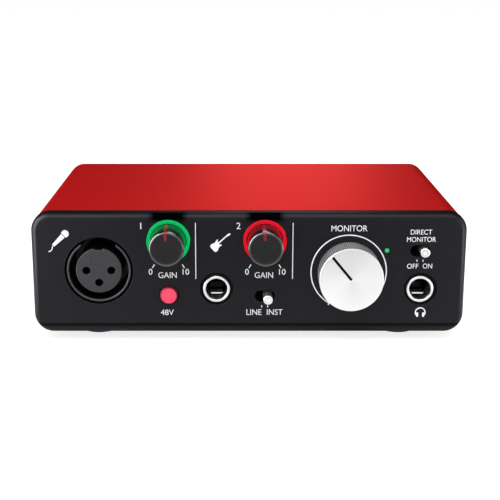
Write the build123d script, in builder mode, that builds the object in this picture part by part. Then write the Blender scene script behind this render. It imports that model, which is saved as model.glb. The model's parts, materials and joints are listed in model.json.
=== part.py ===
from build123d import *

import os
from math import cos, radians, sin

# A small audio interface. A red aluminium sleeve is closed by a black front moulding and
# a rear plate. The main board lies in the sleeve's card slots, and an upright control
# board behind the front carries the knobs, switches and lamps.
#
# Millimetres. X runs to the right, Y to the back and Z up. The origin lies under the
# middle of the whole object, on the surface that its feet stand on. A "depth" is
# measured backwards from the front face, so what stands proud of it has a negative one.

# Case
case_width = 143.5
case_height = 41.0
corner_radius = 6.4
foot_height = 2.5
foot_radius = 7.0
foot_edge = 0.8
foot_inset = 20.7
foot_setback = 15.0

# Front moulding
bezel_depth = 4.5
bezel_plate = 2.5
bezel_edge = 3.0
spigot_wall = 1.4
spigot_reach = 4.0
spigot_fit = 0.15
snap_height = 0.1
snap_length = 14.0

# Sleeve and rear plate
sleeve_length = 91.3
sleeve_wall = 2.0
sleeve_step = 0.3
channel_radius = 3.1
channel_bore = 1.35
channel_inset = 2.6
rear_plate = 1.5
rear_step = 0.6

# Boards
board_rise = 5.9
board_thickness = 1.6
board_fit = 0.1
board_gap = 1.0
slot_depth = 2.5
slot_lip = 1.2
boss_radius = 3.0
boss_bore = 1.0
boss_screw_length = 7.0
control_depth = 12.0
control_thickness = 1.6
control_headroom = 2.7
link_width = 20.0
link_size = 2.5
link_pins = 8
link_pin = 0.6
link_boss_gap = 0.9

# Clearances
part_gap = 0.3
shaft_fit = 0.05
seat_fit = 0.02

# Front layout. A share places a column across the width, a drop is measured down from
# the top, a lift up from the middle, and a rise up from the underside.
gain_share = -0.1847
line_share = 0.0366
xlr_share = -0.3446
instrument_share = -0.0746
monitor_share = 0.2289
status_share = 0.3153
headphone_share = 0.3951
direct_share = 0.3916
gain_drop = 9.7
status_drop = 12.55
xlr_lift = 1.05
monitor_lift = 0.7
jack_rise = 15.35
phantom_rise = 13.2
line_rise = 12.85
direct_rise = jack_rise + line_rise
boss_shares = [-0.2334, -0.0746, 0.3122]
boss_lifts = [-0.5, 11.0, -4.5]
link_boss_share = 0.1254

# Knobs and their potentiometers
knob_stand = 10.5
shaft_radius = 3.0
shaft_flat = 1.5
shaft_end_gap = 0.5
pot_width = 9.8
pot_height = 11.0
pot_depth = 6.8
pot_floor = 1.2
bushing_radius = 3.5
bushing_length = 2.0
gain_radius = 5.7
gain_base_radius = 5.8
gain_sink = 0.5
gain_edge = 0.4
gain_wall = 1.1
gain_hub = 4.1
gain_roof = 1.6
pointer_width = 1.2
pointer_proud = 0.1
pointer_sink = 0.7
pointer_tip = 1.7
monitor_radius = 10.35
monitor_gap = 0.6
monitor_ridges = 105
monitor_knurl = 0.28
monitor_land = 0.8
monitor_roof = 2.4
monitor_rim = 1.9
hub_disc = 1.6
hub_post = 5.0
hub_ring = 0.9
hub_ribs = 6
monitor_mark_width = 0.62
monitor_mark_share = 0.94
monitor_mark_depth = 0.3
monitor_mark_angle = 39.5

# Light rings round the gain knobs, and the status lamp
halo_radius = 7.3
halo_bore = 6.1
halo_depth = 3.4
halo_fit = 0.05
halo_ear = 2.2
halo_ear_height = 5.0
halo_leg_height = 3.0
lamp_height = 0.8
lamp_gap = 0.2
status_radius = 0.85
status_proud = 0.2
status_flange = 1.5
status_flange_depth = 0.8

# Phantom power button
phantom_radius = 2.93
phantom_proud = 1.0
phantom_flange = 0.8
phantom_stem = 1.9
phantom_reach = 5.9
phantom_travel = 0.9
plunger_radius = 1.2
phantom_switch_size = 7.0
phantom_switch_depth = 5.0
phantom_switch_corner = 0.8

# Slide switches
slot_width = 6.6
slot_height = 3.9
lever_radius = 1.65
lever_stand = 5.0
lever_edge = 0.45
lever_travel = 2.0
switch_width = 11.0
switch_height = 7.0
switch_depth = 7.0
switch_floor = 3.0

# Microphone socket
xlr_hole = 11.3
xlr_radius = 11.0
xlr_cavity = 9.75
xlr_depth = 24.0
xlr_cavity_depth = 16.5
xlr_block = 22.4
xlr_insert_radius = 7.75
xlr_insert_recess = 1.0
xlr_pin_circle = 4.1
xlr_pin_bore = 1.35
xlr_pin_mouth = 4.0
xlr_contact_radius = 1.8
xlr_contact_bore = 1.2
xlr_key_width = 2.7
xlr_key_depth = 0.6
xlr_latch_width = 10.3
xlr_latch_depth = 1.2

# Quarter inch sockets
jack_hole = 5.45
jack_nose = 5.2
jack_nose_recess = 0.4
jack_ring_radius = 4.55
jack_bore = 3.25
jack_ring_length = 8.0
jack_chamfer = 0.2
jack_chamber = 3.6
jack_chamber_depth = 27.0
jack_depth = 30.0
jack_width = 13.0
jack_crown = 6.6
jack_foot_width = 8.0
contact_width = 4.4
contact_thickness = 0.4
contact_track = 5.2
contact_crest = 1.3
contact_guide = 3.0

# Twin phono sockets
phono_share = 0.216
phono_rise = 7.2
phono_pitch = 14.0
phono_reach = 9.0
phono_radius = 4.15
phono_wall = 0.65
phono_collar = 5.2
phono_collar_proud = 0.6
phono_insert_recess = 0.4
phono_pin_bore = 1.65
phono_contact_wall = 0.35
phono_contact_length = 8.0
phono_block_width = 27.0
phono_block_height = 14.5
phono_block_depth = 12.0
phono_screw_rise = 5.0

# Square data socket
usb_share = -0.1533
usb_width = 12.0
usb_height = 10.8
usb_depth = 16.0
usb_wall = 0.4
usb_proud = 0.3
usb_mouth_width = 8.5
usb_mouth_height = 7.8
usb_mouth_chamfer = 1.8
usb_mouth_depth = 9.0
usb_tongue_width = 5.7
usb_tongue_height = 3.2
usb_tongue_recess = 1.2

# Security slot
lock_share = -0.3624
lock_drop = 1.0
lock_width = 7.0
lock_height = 3.0
lock_plate_width = 13.0
lock_plate_height = 9.0
lock_plate_thickness = 1.2

# Screws
screw_radius = 1.3
screw_length = 8.0
screw_head_radius = 2.6
screw_head_height = 1.3
screw_socket = 1.15
screw_socket_depth = 0.8
board_screw_radius = 0.95
board_screw_head = 2.1
board_screw_head_height = 1.2

# Parts on the main board
power_depth = 62.0
can_radius = 3.2
can_height = 11.0
can_pitch = 9.0
chip_height = 1.2
chip_sizes = [14.0, 10.0, 8.0, 9.0]
chip_shares = [usb_share, 0.0, 0.0, -0.3345]
chip_depths = [60.0, 45.0, 66.0, 42.0]
coil_size = 10.0
coil_height = 5.0
crystal_length = 11.0
crystal_width = 4.7
crystal_height = 3.6

# Worked out from the sizes above
rear_inner = bezel_depth + sleeve_length
rear_outer = rear_inner + rear_plate
face_y = (knob_stand + pointer_proud - rear_outer - phono_reach) / 2
case_mid = foot_height + case_height / 2
case_top = foot_height + case_height
sleeve_width = case_width - 2 * sleeve_step
sleeve_height = case_height - 2 * sleeve_step
sleeve_radius = corner_radius - sleeve_step
inner_width = sleeve_width - 2 * sleeve_wall
inner_height = sleeve_height - 2 * sleeve_wall
inner_radius = sleeve_radius - sleeve_wall
spigot_width = inner_width - 2 * spigot_fit
spigot_height = inner_height - 2 * spigot_fit
spigot_radius = inner_radius - spigot_fit
pocket_width = spigot_width - 2 * spigot_wall
pocket_height = spigot_height - 2 * spigot_wall
pocket_radius = spigot_radius - spigot_wall
channel_x = inner_width / 2 - channel_inset
channel_z = inner_height / 2 - channel_inset
main_front = bezel_depth + board_gap
board_bottom = foot_height + board_rise
board_top = board_bottom + board_thickness
board_half = channel_x - channel_radius - 2 * board_fit
slot_half = board_thickness / 2 + board_fit + slot_lip
board_middle = board_bottom + board_thickness / 2
control_back = control_depth + control_thickness
control_height = case_mid + inner_height / 2 - control_headroom - board_top
pot_front = control_depth - pot_depth
bushing_front = pot_front - bushing_length
shaft_back = control_depth - pot_floor
gain_cavity_depth = gain_roof - knob_stand
lamp_front = control_depth - lamp_height
guide_end = lamp_front - lamp_gap


def upright(depth):
    """Upright plane at a depth, facing the front, with x to the right and y up."""
    return Plane.XZ.offset(-face_y - depth)


def level(height):
    """Level plane at a height, seen from above."""
    return Plane.XY.offset(height)


def across(share):
    """The x of a column at a share of the width from the middle."""
    return share * case_width


def save(piece, name):
    """Label a finished piece and write it out."""
    piece.part.label = name
    export_step(piece.part, f"parts/{name}.step")


def d_section(radius, flat):
    """Round section with a flat on its upper side, drawn into the open sketch."""
    Circle(radius)
    with Locations((0, flat + radius)):
        Rectangle(2 * radius, 2 * radius, mode=Mode.SUBTRACT)


gain_at = {
    1: (across(gain_share), case_top - gain_drop),
    2: (across(line_share), case_top - gain_drop),
}
monitor_at = (across(monitor_share), case_mid + monitor_lift)
xlr_at = (across(xlr_share), case_mid + xlr_lift)
phantom_at = (across(gain_share), foot_height + phantom_rise)
status_at = (across(status_share), case_top - status_drop)
jack_at = {
    "instrument": (across(instrument_share), foot_height + jack_rise),
    "headphone": (across(headphone_share), foot_height + jack_rise),
}
switch_at = {
    "line": (across(line_share), foot_height + line_rise),
    "direct": (across(direct_share), foot_height + direct_rise),
}
boss_at = [(across(share), case_mid + lift) for share, lift in zip(boss_shares, boss_lifts)]
link_boss_z = board_top + link_size + link_boss_gap + board_screw_head
boss_at.append((across(link_boss_share), link_boss_z))
lock_at = (across(lock_share), case_mid - lock_drop)
phono_x = across(phono_share)
phono_z = board_top + phono_rise
phono_at = {"left": (phono_x - phono_pitch / 2, phono_z), "right": (phono_x + phono_pitch / 2, phono_z)}
phono_screw_at = (phono_x, phono_z + phono_screw_rise)
usb_at = (across(usb_share), board_top + usb_height / 2)
upper_channels = [(side * channel_x, case_mid + channel_z) for side in (-1, 1)]
lower_channels = [(side * channel_x, case_mid - channel_z) for side in (-1, 1)]
channel_at = upper_channels + lower_channels

os.makedirs("parts", exist_ok=True)

# The sleeve: one extrusion with a screw channel in each corner. Each lower channel is
# joined by a block whose slot holds an edge of the main board.
with BuildPart() as case_sleeve:
    with BuildSketch(upright(rear_inner)):
        with Locations((0, case_mid)):
            RectangleRounded(sleeve_width, sleeve_height, sleeve_radius)
            RectangleRounded(inner_width, inner_height, inner_radius, mode=Mode.SUBTRACT)
        with Locations(*channel_at):
            Circle(channel_radius)
        for side in (-1, 1):
            block_width = inner_width / 2 - board_half + slot_depth
            with Locations((side * (inner_width - block_width) / 2, board_middle)):
                Rectangle(block_width, 2 * slot_half)
            with Locations((side * (board_half + board_fit - slot_depth), board_middle)):
                Rectangle(2 * slot_depth, board_thickness + 2 * board_fit, mode=Mode.SUBTRACT)
        with Locations(*channel_at):
            Circle(channel_bore, mode=Mode.SUBTRACT)
    extrude(amount=sleeve_length)
save(case_sleeve, "case_sleeve")

# The front moulding: a rounded face plate, a rim as thick as the sleeve and its spigot,
# and the spigot itself, which reaches into the sleeve between the channels.
with BuildPart() as front_bezel:
    with BuildSketch(upright(bezel_depth)):
        with Locations((0, case_mid)):
            RectangleRounded(case_width, case_height, corner_radius)
    extrude(amount=bezel_depth)
    fillet(front_bezel.faces().sort_by(Axis.Y)[0].edges(), bezel_edge)
    with BuildSketch(upright(bezel_depth)):
        with Locations((0, case_mid)):
            RectangleRounded(pocket_width, pocket_height, pocket_radius)
    extrude(amount=bezel_depth - bezel_plate, mode=Mode.SUBTRACT)
    with BuildSketch(upright(bezel_depth + spigot_reach)):
        with Locations((0, case_mid)):
            RectangleRounded(spigot_width, spigot_height, spigot_radius)
            RectangleRounded(pocket_width, pocket_height, pocket_radius, mode=Mode.SUBTRACT)
        corner_reach = 2 * (channel_inset + channel_radius + part_gap)
        for side in (-1, 1):
            with Locations((side * inner_width / 2, case_mid + inner_height / 2)):
                Rectangle(corner_reach, corner_reach, mode=Mode.SUBTRACT)
            with Locations((side * inner_width / 2, board_middle)):
                block_reach = inner_width - 2 * (board_half - slot_depth - part_gap)
                Rectangle(block_reach, 2 * (slot_half + part_gap), mode=Mode.SUBTRACT)
            with Locations((side * inner_width / 2, case_mid - inner_height / 2)):
                Rectangle(corner_reach, corner_reach, mode=Mode.SUBTRACT)
    extrude(amount=spigot_reach)
    # Two long snap ridges above and below, halfway along the spigot
    for side in (-1, 1):
        with BuildSketch(upright(bezel_depth + spigot_reach * 0.75)):
            with Locations((0, case_mid + side * spigot_height / 2)):
                Rectangle(snap_length, 2 * snap_height)
        extrude(amount=spigot_reach / 2)
    # Bosses that carry the control board
    with BuildSketch(upright(control_depth)):
        with Locations(*boss_at):
            Circle(boss_radius)
    extrude(amount=control_depth - bezel_plate)
    with BuildSketch(upright(control_depth)):
        with Locations(*boss_at):
            Circle(boss_bore)
    extrude(amount=boss_screw_length, mode=Mode.SUBTRACT)
    # Openings for the sockets and controls
    with BuildSketch(upright(bezel_depth)):
        with Locations(xlr_at):
            Circle(xlr_hole)
        with Locations(*jack_at.values()):
            Circle(jack_hole)
        with Locations(*gain_at.values()):
            Circle(halo_radius + halo_fit)
        with Locations(monitor_at):
            Circle(bushing_radius + part_gap)
        with Locations(phantom_at):
            Circle(phantom_radius + part_gap)
        with Locations(status_at):
            Circle(status_radius + halo_fit)
        with Locations(*switch_at.values()):
            SlotOverall(slot_width, slot_height)
    extrude(amount=bezel_depth, mode=Mode.SUBTRACT)
save(front_bezel, "front_bezel")

# The rear plate covers the sleeve's end and leaves a thin line of it bare all round.
with BuildPart() as rear_panel:
    with BuildSketch(upright(rear_outer)):
        with Locations((0, case_mid)):
            panel_width = sleeve_width - 2 * rear_step
            RectangleRounded(panel_width, sleeve_height - 2 * rear_step, sleeve_radius - rear_step)
        with Locations(*channel_at):
            Circle(screw_radius + part_gap, mode=Mode.SUBTRACT)
        with Locations(*phono_at.values()):
            Circle(phono_collar + part_gap, mode=Mode.SUBTRACT)
        with Locations(phono_screw_at):
            Circle(screw_radius + part_gap, mode=Mode.SUBTRACT)
        with Locations(usb_at):
            usb_opening = (usb_width + 2 * part_gap, usb_height + 2 * part_gap)
            RectangleRounded(*usb_opening, usb_wall + part_gap, mode=Mode.SUBTRACT)
        with Locations(lock_at):
            RectangleRounded(lock_width, lock_height, lock_height / 4, mode=Mode.SUBTRACT)
    extrude(amount=rear_plate)
save(rear_panel, "rear_panel")


def rear_screws(places):
    """Button screws with a hex socket, driven forwards through the rear plate."""
    with BuildPart() as screws:
        with BuildSketch(upright(rear_outer)):
            with Locations(*places):
                Circle(screw_radius)
        extrude(amount=screw_length)
        with BuildSketch(upright(rear_outer + screw_head_height)):
            with Locations(*places):
                Circle(screw_head_radius)
        extrude(amount=screw_head_height)
        outer = screws.faces().group_by(Axis.Y)[-1]
        fillet(outer.edges(), screw_head_height / 2)
        with BuildSketch(upright(rear_outer + screw_head_height)):
            with Locations(*places):
                RegularPolygon(screw_socket, 6)
        extrude(amount=screw_socket_depth, mode=Mode.SUBTRACT)
    return screws


save(rear_screws(channel_at), "rear_panel_screws")
save(rear_screws([phono_screw_at]), "phono_screw")

# Steel plate behind the security slot
with BuildPart() as lock_bracket:
    with BuildSketch(upright(rear_inner)):
        with Locations(lock_at):
            Rectangle(lock_plate_width, lock_plate_height)
            lock_wide = lock_width + 2 * part_gap
            lock_tall = lock_height + 2 * part_gap
            RectangleRounded(lock_wide, lock_tall, lock_tall / 4, mode=Mode.SUBTRACT)
    extrude(amount=lock_plate_thickness)
save(lock_bracket, "lock_bracket")

# Feet: rubber discs with a rounded lower edge, stuck to the sleeve's underside
foot_x = case_width / 2 - foot_inset
foot_depths = {"front": foot_setback, "rear": rear_inner - foot_setback}
for end, depth in foot_depths.items():
    for hand, side in (("left", -1), ("right", 1)):
        with BuildPart() as foot:
            with BuildSketch(level(0)):
                with Locations((side * foot_x, face_y + depth)):
                    Circle(foot_radius)
            extrude(amount=foot_height + sleeve_step)
            fillet(foot.faces().sort_by(Axis.Z)[0].edges(), foot_edge)
        save(foot, f"foot_{end}_{hand}")

# Main board: slides into the sleeve's slots from the back
main_length = rear_inner - board_gap - main_front
with BuildPart() as main_board:
    with BuildSketch(level(board_bottom)):
        with Locations((0, face_y + main_front + main_length / 2)):
            Rectangle(2 * board_half, main_length)
    extrude(amount=board_thickness)
save(main_board, "main_board")

# Control board: stands on the main board, and is notched round the two jack sockets
control_left = boss_at[0][0] - boss_radius
control_right = jack_at["headphone"][0] + jack_width / 2
with BuildPart() as control_board:
    with BuildSketch(upright(control_back)):
        with Locations(((control_left + control_right) / 2, board_top + control_height / 2)):
            Rectangle(control_right - control_left, control_height)
        for x, z in jack_at.values():
            notch_top = z + jack_crown + part_gap
            with Locations((x, (board_top + notch_top) / 2)):
                Rectangle(jack_width + 2 * part_gap, notch_top - board_top, mode=Mode.SUBTRACT)
        with Locations(*boss_at):
            Circle(board_screw_radius + shaft_fit, mode=Mode.SUBTRACT)
    extrude(amount=control_thickness)
save(control_board, "control_board")

# Screws that hold the control board to the bosses, driven from behind
with BuildPart() as board_screws:
    with BuildSketch(upright(control_back)):
        with Locations(*boss_at):
            Circle(board_screw_radius)
    extrude(amount=control_thickness + boss_screw_length - part_gap)
    with BuildSketch(upright(control_back + board_screw_head_height)):
        with Locations(*boss_at):
            Circle(board_screw_head)
    extrude(amount=board_screw_head_height)
save(board_screws, "board_screws")

# Header that joins the two boards, with a row of pins
link_x = (switch_at["line"][0] + monitor_at[0]) / 2
with BuildPart() as board_link:
    with BuildSketch(upright(control_back + link_size)):
        with Locations((link_x, board_top + link_size / 2)):
            Rectangle(link_width, link_size)
    extrude(amount=link_size)
    with BuildSketch(upright(control_back + 2 * link_size)):
        with Locations((link_x, board_top + link_size / 2)):
            with GridLocations((link_width - link_size) / (link_pins - 1), 1, link_pins, 1):
                Rectangle(link_pin, link_pin)
    extrude(amount=link_size)
save(board_link, "board_link")


def potentiometer(place):
    """Pot body on the control board, with a bushing and a blind hole for the shaft."""
    with BuildPart() as pot:
        with BuildSketch(upright(control_depth)):
            with Locations(place):
                RectangleRounded(pot_width, pot_height, pot_width / 12)
        extrude(amount=pot_depth)
        with BuildSketch(upright(pot_front)):
            with Locations(place):
                Circle(bushing_radius)
        extrude(amount=bushing_length)
        with BuildSketch(upright(shaft_back + part_gap)):
            with Locations(place):
                Circle(shaft_radius + shaft_fit)
        extrude(amount=shaft_back + part_gap - bushing_front, mode=Mode.SUBTRACT)
    return pot


def pot_shaft(place, front):
    """Pot shaft that ends at the given depth, flattened where a knob grips it."""
    with BuildPart() as shaft:
        with BuildSketch(upright(shaft_back)):
            with Locations(place):
                Circle(shaft_radius)
        extrude(amount=shaft_back - bushing_front)
        with BuildSketch(upright(bushing_front)):
            with Locations(place):
                d_section(shaft_radius, shaft_flat)
        extrude(amount=bushing_front - front)
    return shaft


def shaft_hole(place, front):
    """The space that the flattened end of a pot shaft takes up in a knob."""
    with BuildPart() as hole:
        with BuildSketch(upright(gain_sink)):
            with Locations(place):
                d_section(shaft_radius + seat_fit, shaft_flat + seat_fit)
        extrude(amount=gain_sink - front)
    return hole.part


# Gain knobs, each with an inlaid pointer that runs along its side and over its face,
# inside a light ring whose legs lead the light of two lamps to the front
taper = (gain_base_radius - gain_radius) / (knob_stand + gain_sink)
gain_shaft_front = gain_cavity_depth + shaft_end_gap
for number, place in gain_at.items():
    with BuildPart() as pointer:
        with BuildSketch(Plane.YZ.offset(place[0])):
            front_y = face_y - knob_stand
            base_y = face_y - gain_sink
            base_z = place[1] + gain_base_radius - 2 * gain_sink * taper
            face_z = place[1] + gain_radius
            with BuildLine():
                Polyline(
                    (front_y - pointer_proud, place[1] + pointer_tip),
                    (front_y - pointer_proud, face_z + pointer_proud),
                    (base_y, base_z + pointer_proud),
                    (base_y, base_z - pointer_sink),
                    (front_y + pointer_sink, face_z - pointer_sink),
                    (front_y + pointer_sink, place[1] + pointer_tip),
                    close=True,
                )
            make_face()
        extrude(amount=pointer_width / 2, both=True)
        ridge = pointer.edges().filter_by(Axis.X).sort_by(Axis.Y)[:2].sort_by(Axis.Z)[-1]
        fillet(ridge, gain_edge)
    save(pointer, f"gain_pointer_{number}")

    gain_hole = shaft_hole(place, gain_cavity_depth)
    with BuildPart() as knob:
        with BuildSketch(upright(gain_sink)):
            with Locations(place):
                Circle(gain_base_radius)
        with BuildSketch(upright(-knob_stand)):
            with Locations(place):
                Circle(gain_radius)
        loft()
        fillet(knob.faces().sort_by(Axis.Y)[0].edges(), gain_edge)
        with BuildSketch(upright(gain_sink)):
            with Locations(place):
                Circle(gain_radius - gain_wall)
                Circle(gain_hub, mode=Mode.SUBTRACT)
        extrude(amount=gain_sink - gain_cavity_depth, mode=Mode.SUBTRACT)
        add(gain_hole, mode=Mode.SUBTRACT)
        add(pointer.part, mode=Mode.SUBTRACT)
    save(knob, f"gain_knob_{number}")
    save(pot_shaft(place, gain_shaft_front), f"gain_shaft_{number}")
    save(potentiometer(place), f"gain_pot_{number}")

    leg_width = halo_radius - halo_bore
    leg_x = halo_bore + leg_width / 2
    with BuildPart() as halo:
        with BuildSketch(upright(halo_depth)):
            with Locations(place):
                Circle(halo_radius)
                Circle(halo_bore, mode=Mode.SUBTRACT)
        extrude(amount=halo_depth)
        with BuildSketch(upright(halo_depth)):
            with Locations(place):
                Rectangle(2 * (halo_radius + halo_ear), halo_ear_height)
                Circle(leg_x, mode=Mode.SUBTRACT)
        extrude(amount=halo_depth - bezel_plate)
        with BuildSketch(upright(guide_end)):
            with Locations(place):
                with GridLocations(2 * leg_x, 1, 2, 1):
                    Rectangle(leg_width, halo_leg_height)
        extrude(amount=guide_end - halo_depth)
    save(halo, f"gain_halo_{number}")


def ridge_point(index):
    """Point of the knurled outline: even ones lie on the crests, odd ones in the valleys."""
    angle = radians(180 * index / monitor_ridges)
    reach = monitor_radius - monitor_knurl * (index % 2)
    return (monitor_at[0] + reach * cos(angle), monitor_at[1] + reach * sin(angle))


# Monitor knob: an aluminium cap with a knurled side, on a ribbed plastic hub
monitor_roof_depth = monitor_roof - knob_stand
monitor_cavity = monitor_radius - monitor_rim
with BuildPart() as monitor_knob:
    with BuildSketch(upright(-monitor_gap)):
        with BuildLine():
            Polyline(*[ridge_point(index) for index in range(2 * monitor_ridges)], close=True)
        make_face()
    extrude(amount=knob_stand - monitor_gap - monitor_land)
    with BuildSketch(upright(monitor_land - knob_stand)):
        with Locations(monitor_at):
            Circle(monitor_radius)
    extrude(amount=monitor_land)
    chamfer(monitor_knob.faces().sort_by(Axis.Y)[0].edges(), monitor_land / 2)
    with BuildSketch(upright(-monitor_gap)):
        with Locations(monitor_at):
            Circle(monitor_cavity)
    extrude(amount=-monitor_gap - monitor_roof_depth, mode=Mode.SUBTRACT)
    mark_length = monitor_radius * monitor_mark_share
    with BuildSketch(upright(monitor_mark_depth - knob_stand)):
        with Locations(monitor_at):
            with PolarLocations(mark_length / 2, 1, 90 + monitor_mark_angle):
                Rectangle(mark_length, monitor_mark_width)
    extrude(amount=monitor_mark_depth, mode=Mode.SUBTRACT)
save(monitor_knob, "monitor_knob")

with BuildPart() as monitor_pointer:
    with BuildSketch(upright(monitor_mark_depth - knob_stand)):
        with Locations(monitor_at):
            with PolarLocations(mark_length / 2, 1, 90 + monitor_mark_angle):
                Rectangle(mark_length, monitor_mark_width)
    extrude(amount=monitor_mark_depth)
save(monitor_pointer, "monitor_pointer")

hub_back = -2 * monitor_gap
hub_radius = monitor_cavity - seat_fit
monitor_hole = shaft_hole(monitor_at, monitor_roof_depth)
with BuildPart() as monitor_knob_hub:
    with BuildSketch(upright(monitor_roof_depth + hub_disc)):
        with Locations(monitor_at):
            Circle(hub_radius)
    extrude(amount=hub_disc)
    with BuildSketch(upright(hub_back)):
        with Locations(monitor_at):
            Circle(hub_radius)
            Circle(hub_radius - hub_ring, mode=Mode.SUBTRACT)
            Circle(hub_post)
            with PolarLocations((hub_post + hub_radius - hub_ring) / 2, hub_ribs):
                Rectangle(hub_radius - hub_post, hub_ring)
    extrude(amount=hub_back - monitor_roof_depth - hub_disc)
    add(monitor_hole, mode=Mode.SUBTRACT)
save(monitor_knob_hub, "monitor_knob_hub")
save(pot_shaft(monitor_at, monitor_roof_depth + shaft_end_gap), "monitor_shaft")
save(potentiometer(monitor_at), "monitor_pot")

# Phantom power button: a lit cap with a flange behind the face plate, and its switch
with BuildPart() as phantom_button:
    with BuildSketch(upright(bezel_plate + part_gap)):
        with Locations(phantom_at):
            Circle(phantom_radius)
    extrude(amount=bezel_plate + part_gap + phantom_proud)
    fillet(phantom_button.faces().sort_by(Axis.Y)[0].edges(), phantom_proud / 3)
    with BuildSketch(upright(bezel_plate + part_gap + phantom_flange)):
        with Locations(phantom_at):
            Circle(phantom_radius + phantom_flange)
    extrude(amount=phantom_flange)
    with BuildSketch(upright(phantom_reach)):
        with Locations(phantom_at):
            Circle(phantom_stem)
    extrude(amount=phantom_reach - bezel_plate)
save(phantom_button, "phantom_button")

phantom_switch_front = control_depth - phantom_switch_depth
plunger_end = phantom_switch_front + phantom_switch_depth / 2
with BuildPart() as phantom_plunger:
    with BuildSketch(upright(plunger_end)):
        with Locations(phantom_at):
            Circle(plunger_radius)
    extrude(amount=plunger_end - phantom_reach)
save(phantom_plunger, "phantom_plunger")

with BuildPart() as phantom_switch:
    with BuildSketch(upright(control_depth)):
        with Locations(phantom_at):
            RectangleRounded(phantom_switch_size, phantom_switch_size, phantom_switch_corner)
    extrude(amount=phantom_switch_depth)
    with BuildSketch(upright(plunger_end + phantom_travel + part_gap)):
        with Locations(phantom_at):
            Circle(plunger_radius + 2 * shaft_fit)
    extrude(amount=plunger_end + phantom_travel + part_gap - phantom_switch_front, mode=Mode.SUBTRACT)
save(phantom_switch, "phantom_switch")

# Slide switches: a body on the control board with a pocket that the lever slides in.
# Each lever rests at the right-hand end of its travel.
switch_front = control_depth - switch_depth
switch_pocket = control_depth - switch_floor
for name, (x, z) in switch_at.items():
    with BuildPart() as switch:
        with BuildSketch(upright(control_depth)):
            with Locations((x, z)):
                RectangleRounded(switch_width, switch_height, switch_height / 12)
        extrude(amount=switch_depth)
        with BuildSketch(upright(switch_pocket)):
            with Locations((x, z)):
                pocket_size = 2 * (lever_radius + part_gap)
                SlotOverall(lever_travel + pocket_size, pocket_size)
        extrude(amount=switch_pocket - switch_front, mode=Mode.SUBTRACT)
    save(switch, f"{name}_switch")

    with BuildPart() as lever:
        with BuildSketch(upright(switch_pocket - part_gap)):
            with Locations((x + lever_travel / 2, z)):
                Circle(lever_radius)
        extrude(amount=switch_pocket - part_gap + lever_stand)
        fillet(lever.faces().sort_by(Axis.Y)[0].edges(), lever_edge)
    save(lever, f"{name}_lever")

# Status lamp: a light pipe with a flange behind the face plate
with BuildPart() as status_led:
    with BuildSketch(upright(guide_end)):
        with Locations(status_at):
            Circle(status_radius)
    extrude(amount=guide_end + status_proud)
    fillet(status_led.faces().sort_by(Axis.Y)[0].edges(), status_proud)
    with BuildSketch(upright(bezel_plate + status_flange_depth)):
        with Locations(status_at):
            Circle(status_flange)
    extrude(amount=status_flange_depth)
save(status_led, "status_led")

# Lamps on the control board, one under each light guide
with BuildPart() as board_lights:
    with BuildSketch(upright(control_depth)):
        with Locations(*gain_at.values()):
            with GridLocations(2 * leg_x, 1, 2, 1):
                Rectangle(leg_width, halo_leg_height / 2)
        with Locations(status_at):
            Rectangle(leg_width, halo_leg_height / 2)
    extrude(amount=lamp_height)
save(board_lights, "board_lights")

# Microphone socket: the shell holds an insert inside a ring-shaped cavity that takes the
# plug's own shell, and the insert holds three tube contacts
xlr_block_top = xlr_at[1] + xlr_block / 2
with BuildPart() as xlr_shell:
    with BuildSketch(upright(xlr_depth)):
        with Locations((xlr_at[0], (board_top + xlr_block_top) / 2)):
            RectangleRounded(xlr_block, xlr_block_top - board_top, xlr_block / 10)
    extrude(amount=xlr_depth - bezel_plate)
    with BuildSketch(upright(bezel_plate)):
        with Locations(xlr_at):
            Circle(xlr_radius)
    extrude(amount=bezel_plate)
    with BuildSketch(upright(xlr_cavity_depth)):
        with Locations(xlr_at):
            Circle(xlr_cavity)
    extrude(amount=xlr_cavity_depth, mode=Mode.SUBTRACT)
    # The rim is cut back at the top, where a plug's latch is pressed
    with BuildSketch(upright(xlr_latch_depth)):
        with Locations((xlr_at[0], xlr_at[1] + xlr_radius)):
            Rectangle(xlr_latch_width, xlr_radius)
    extrude(amount=xlr_latch_depth, mode=Mode.SUBTRACT)
save(xlr_shell, "xlr_shell")

with BuildPart() as xlr_insert:
    with BuildSketch(upright(xlr_cavity_depth)):
        with Locations(xlr_at):
            Circle(xlr_insert_radius)
        with Locations((xlr_at[0], xlr_at[1] + xlr_insert_radius)):
            Rectangle(xlr_key_width, 2 * xlr_key_depth, mode=Mode.SUBTRACT)
    extrude(amount=xlr_cavity_depth - xlr_insert_recess)
    with BuildSketch(upright(xlr_cavity_depth)):
        with Locations(xlr_at):
            with PolarLocations(xlr_pin_circle, 3, 180, 180, endpoint=True):
                Circle(xlr_pin_bore)
    extrude(amount=xlr_cavity_depth - xlr_insert_recess, mode=Mode.SUBTRACT)
    with BuildSketch(upright(xlr_cavity_depth)):
        with Locations(xlr_at):
            with PolarLocations(xlr_pin_circle, 3, 180, 180, endpoint=True):
                Circle(xlr_contact_radius + seat_fit)
    extrude(amount=xlr_cavity_depth - xlr_insert_recess - xlr_pin_mouth, mode=Mode.SUBTRACT)
save(xlr_insert, "xlr_insert")

with BuildPart() as xlr_contacts:
    with BuildSketch(upright(xlr_cavity_depth)):
        with Locations(xlr_at):
            with PolarLocations(xlr_pin_circle, 3, 180, 180, endpoint=True):
                Circle(xlr_contact_radius)
                Circle(xlr_contact_bore, mode=Mode.SUBTRACT)
    extrude(amount=xlr_cavity_depth - xlr_insert_recess - xlr_pin_mouth)
save(xlr_contacts, "xlr_contacts")

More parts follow.
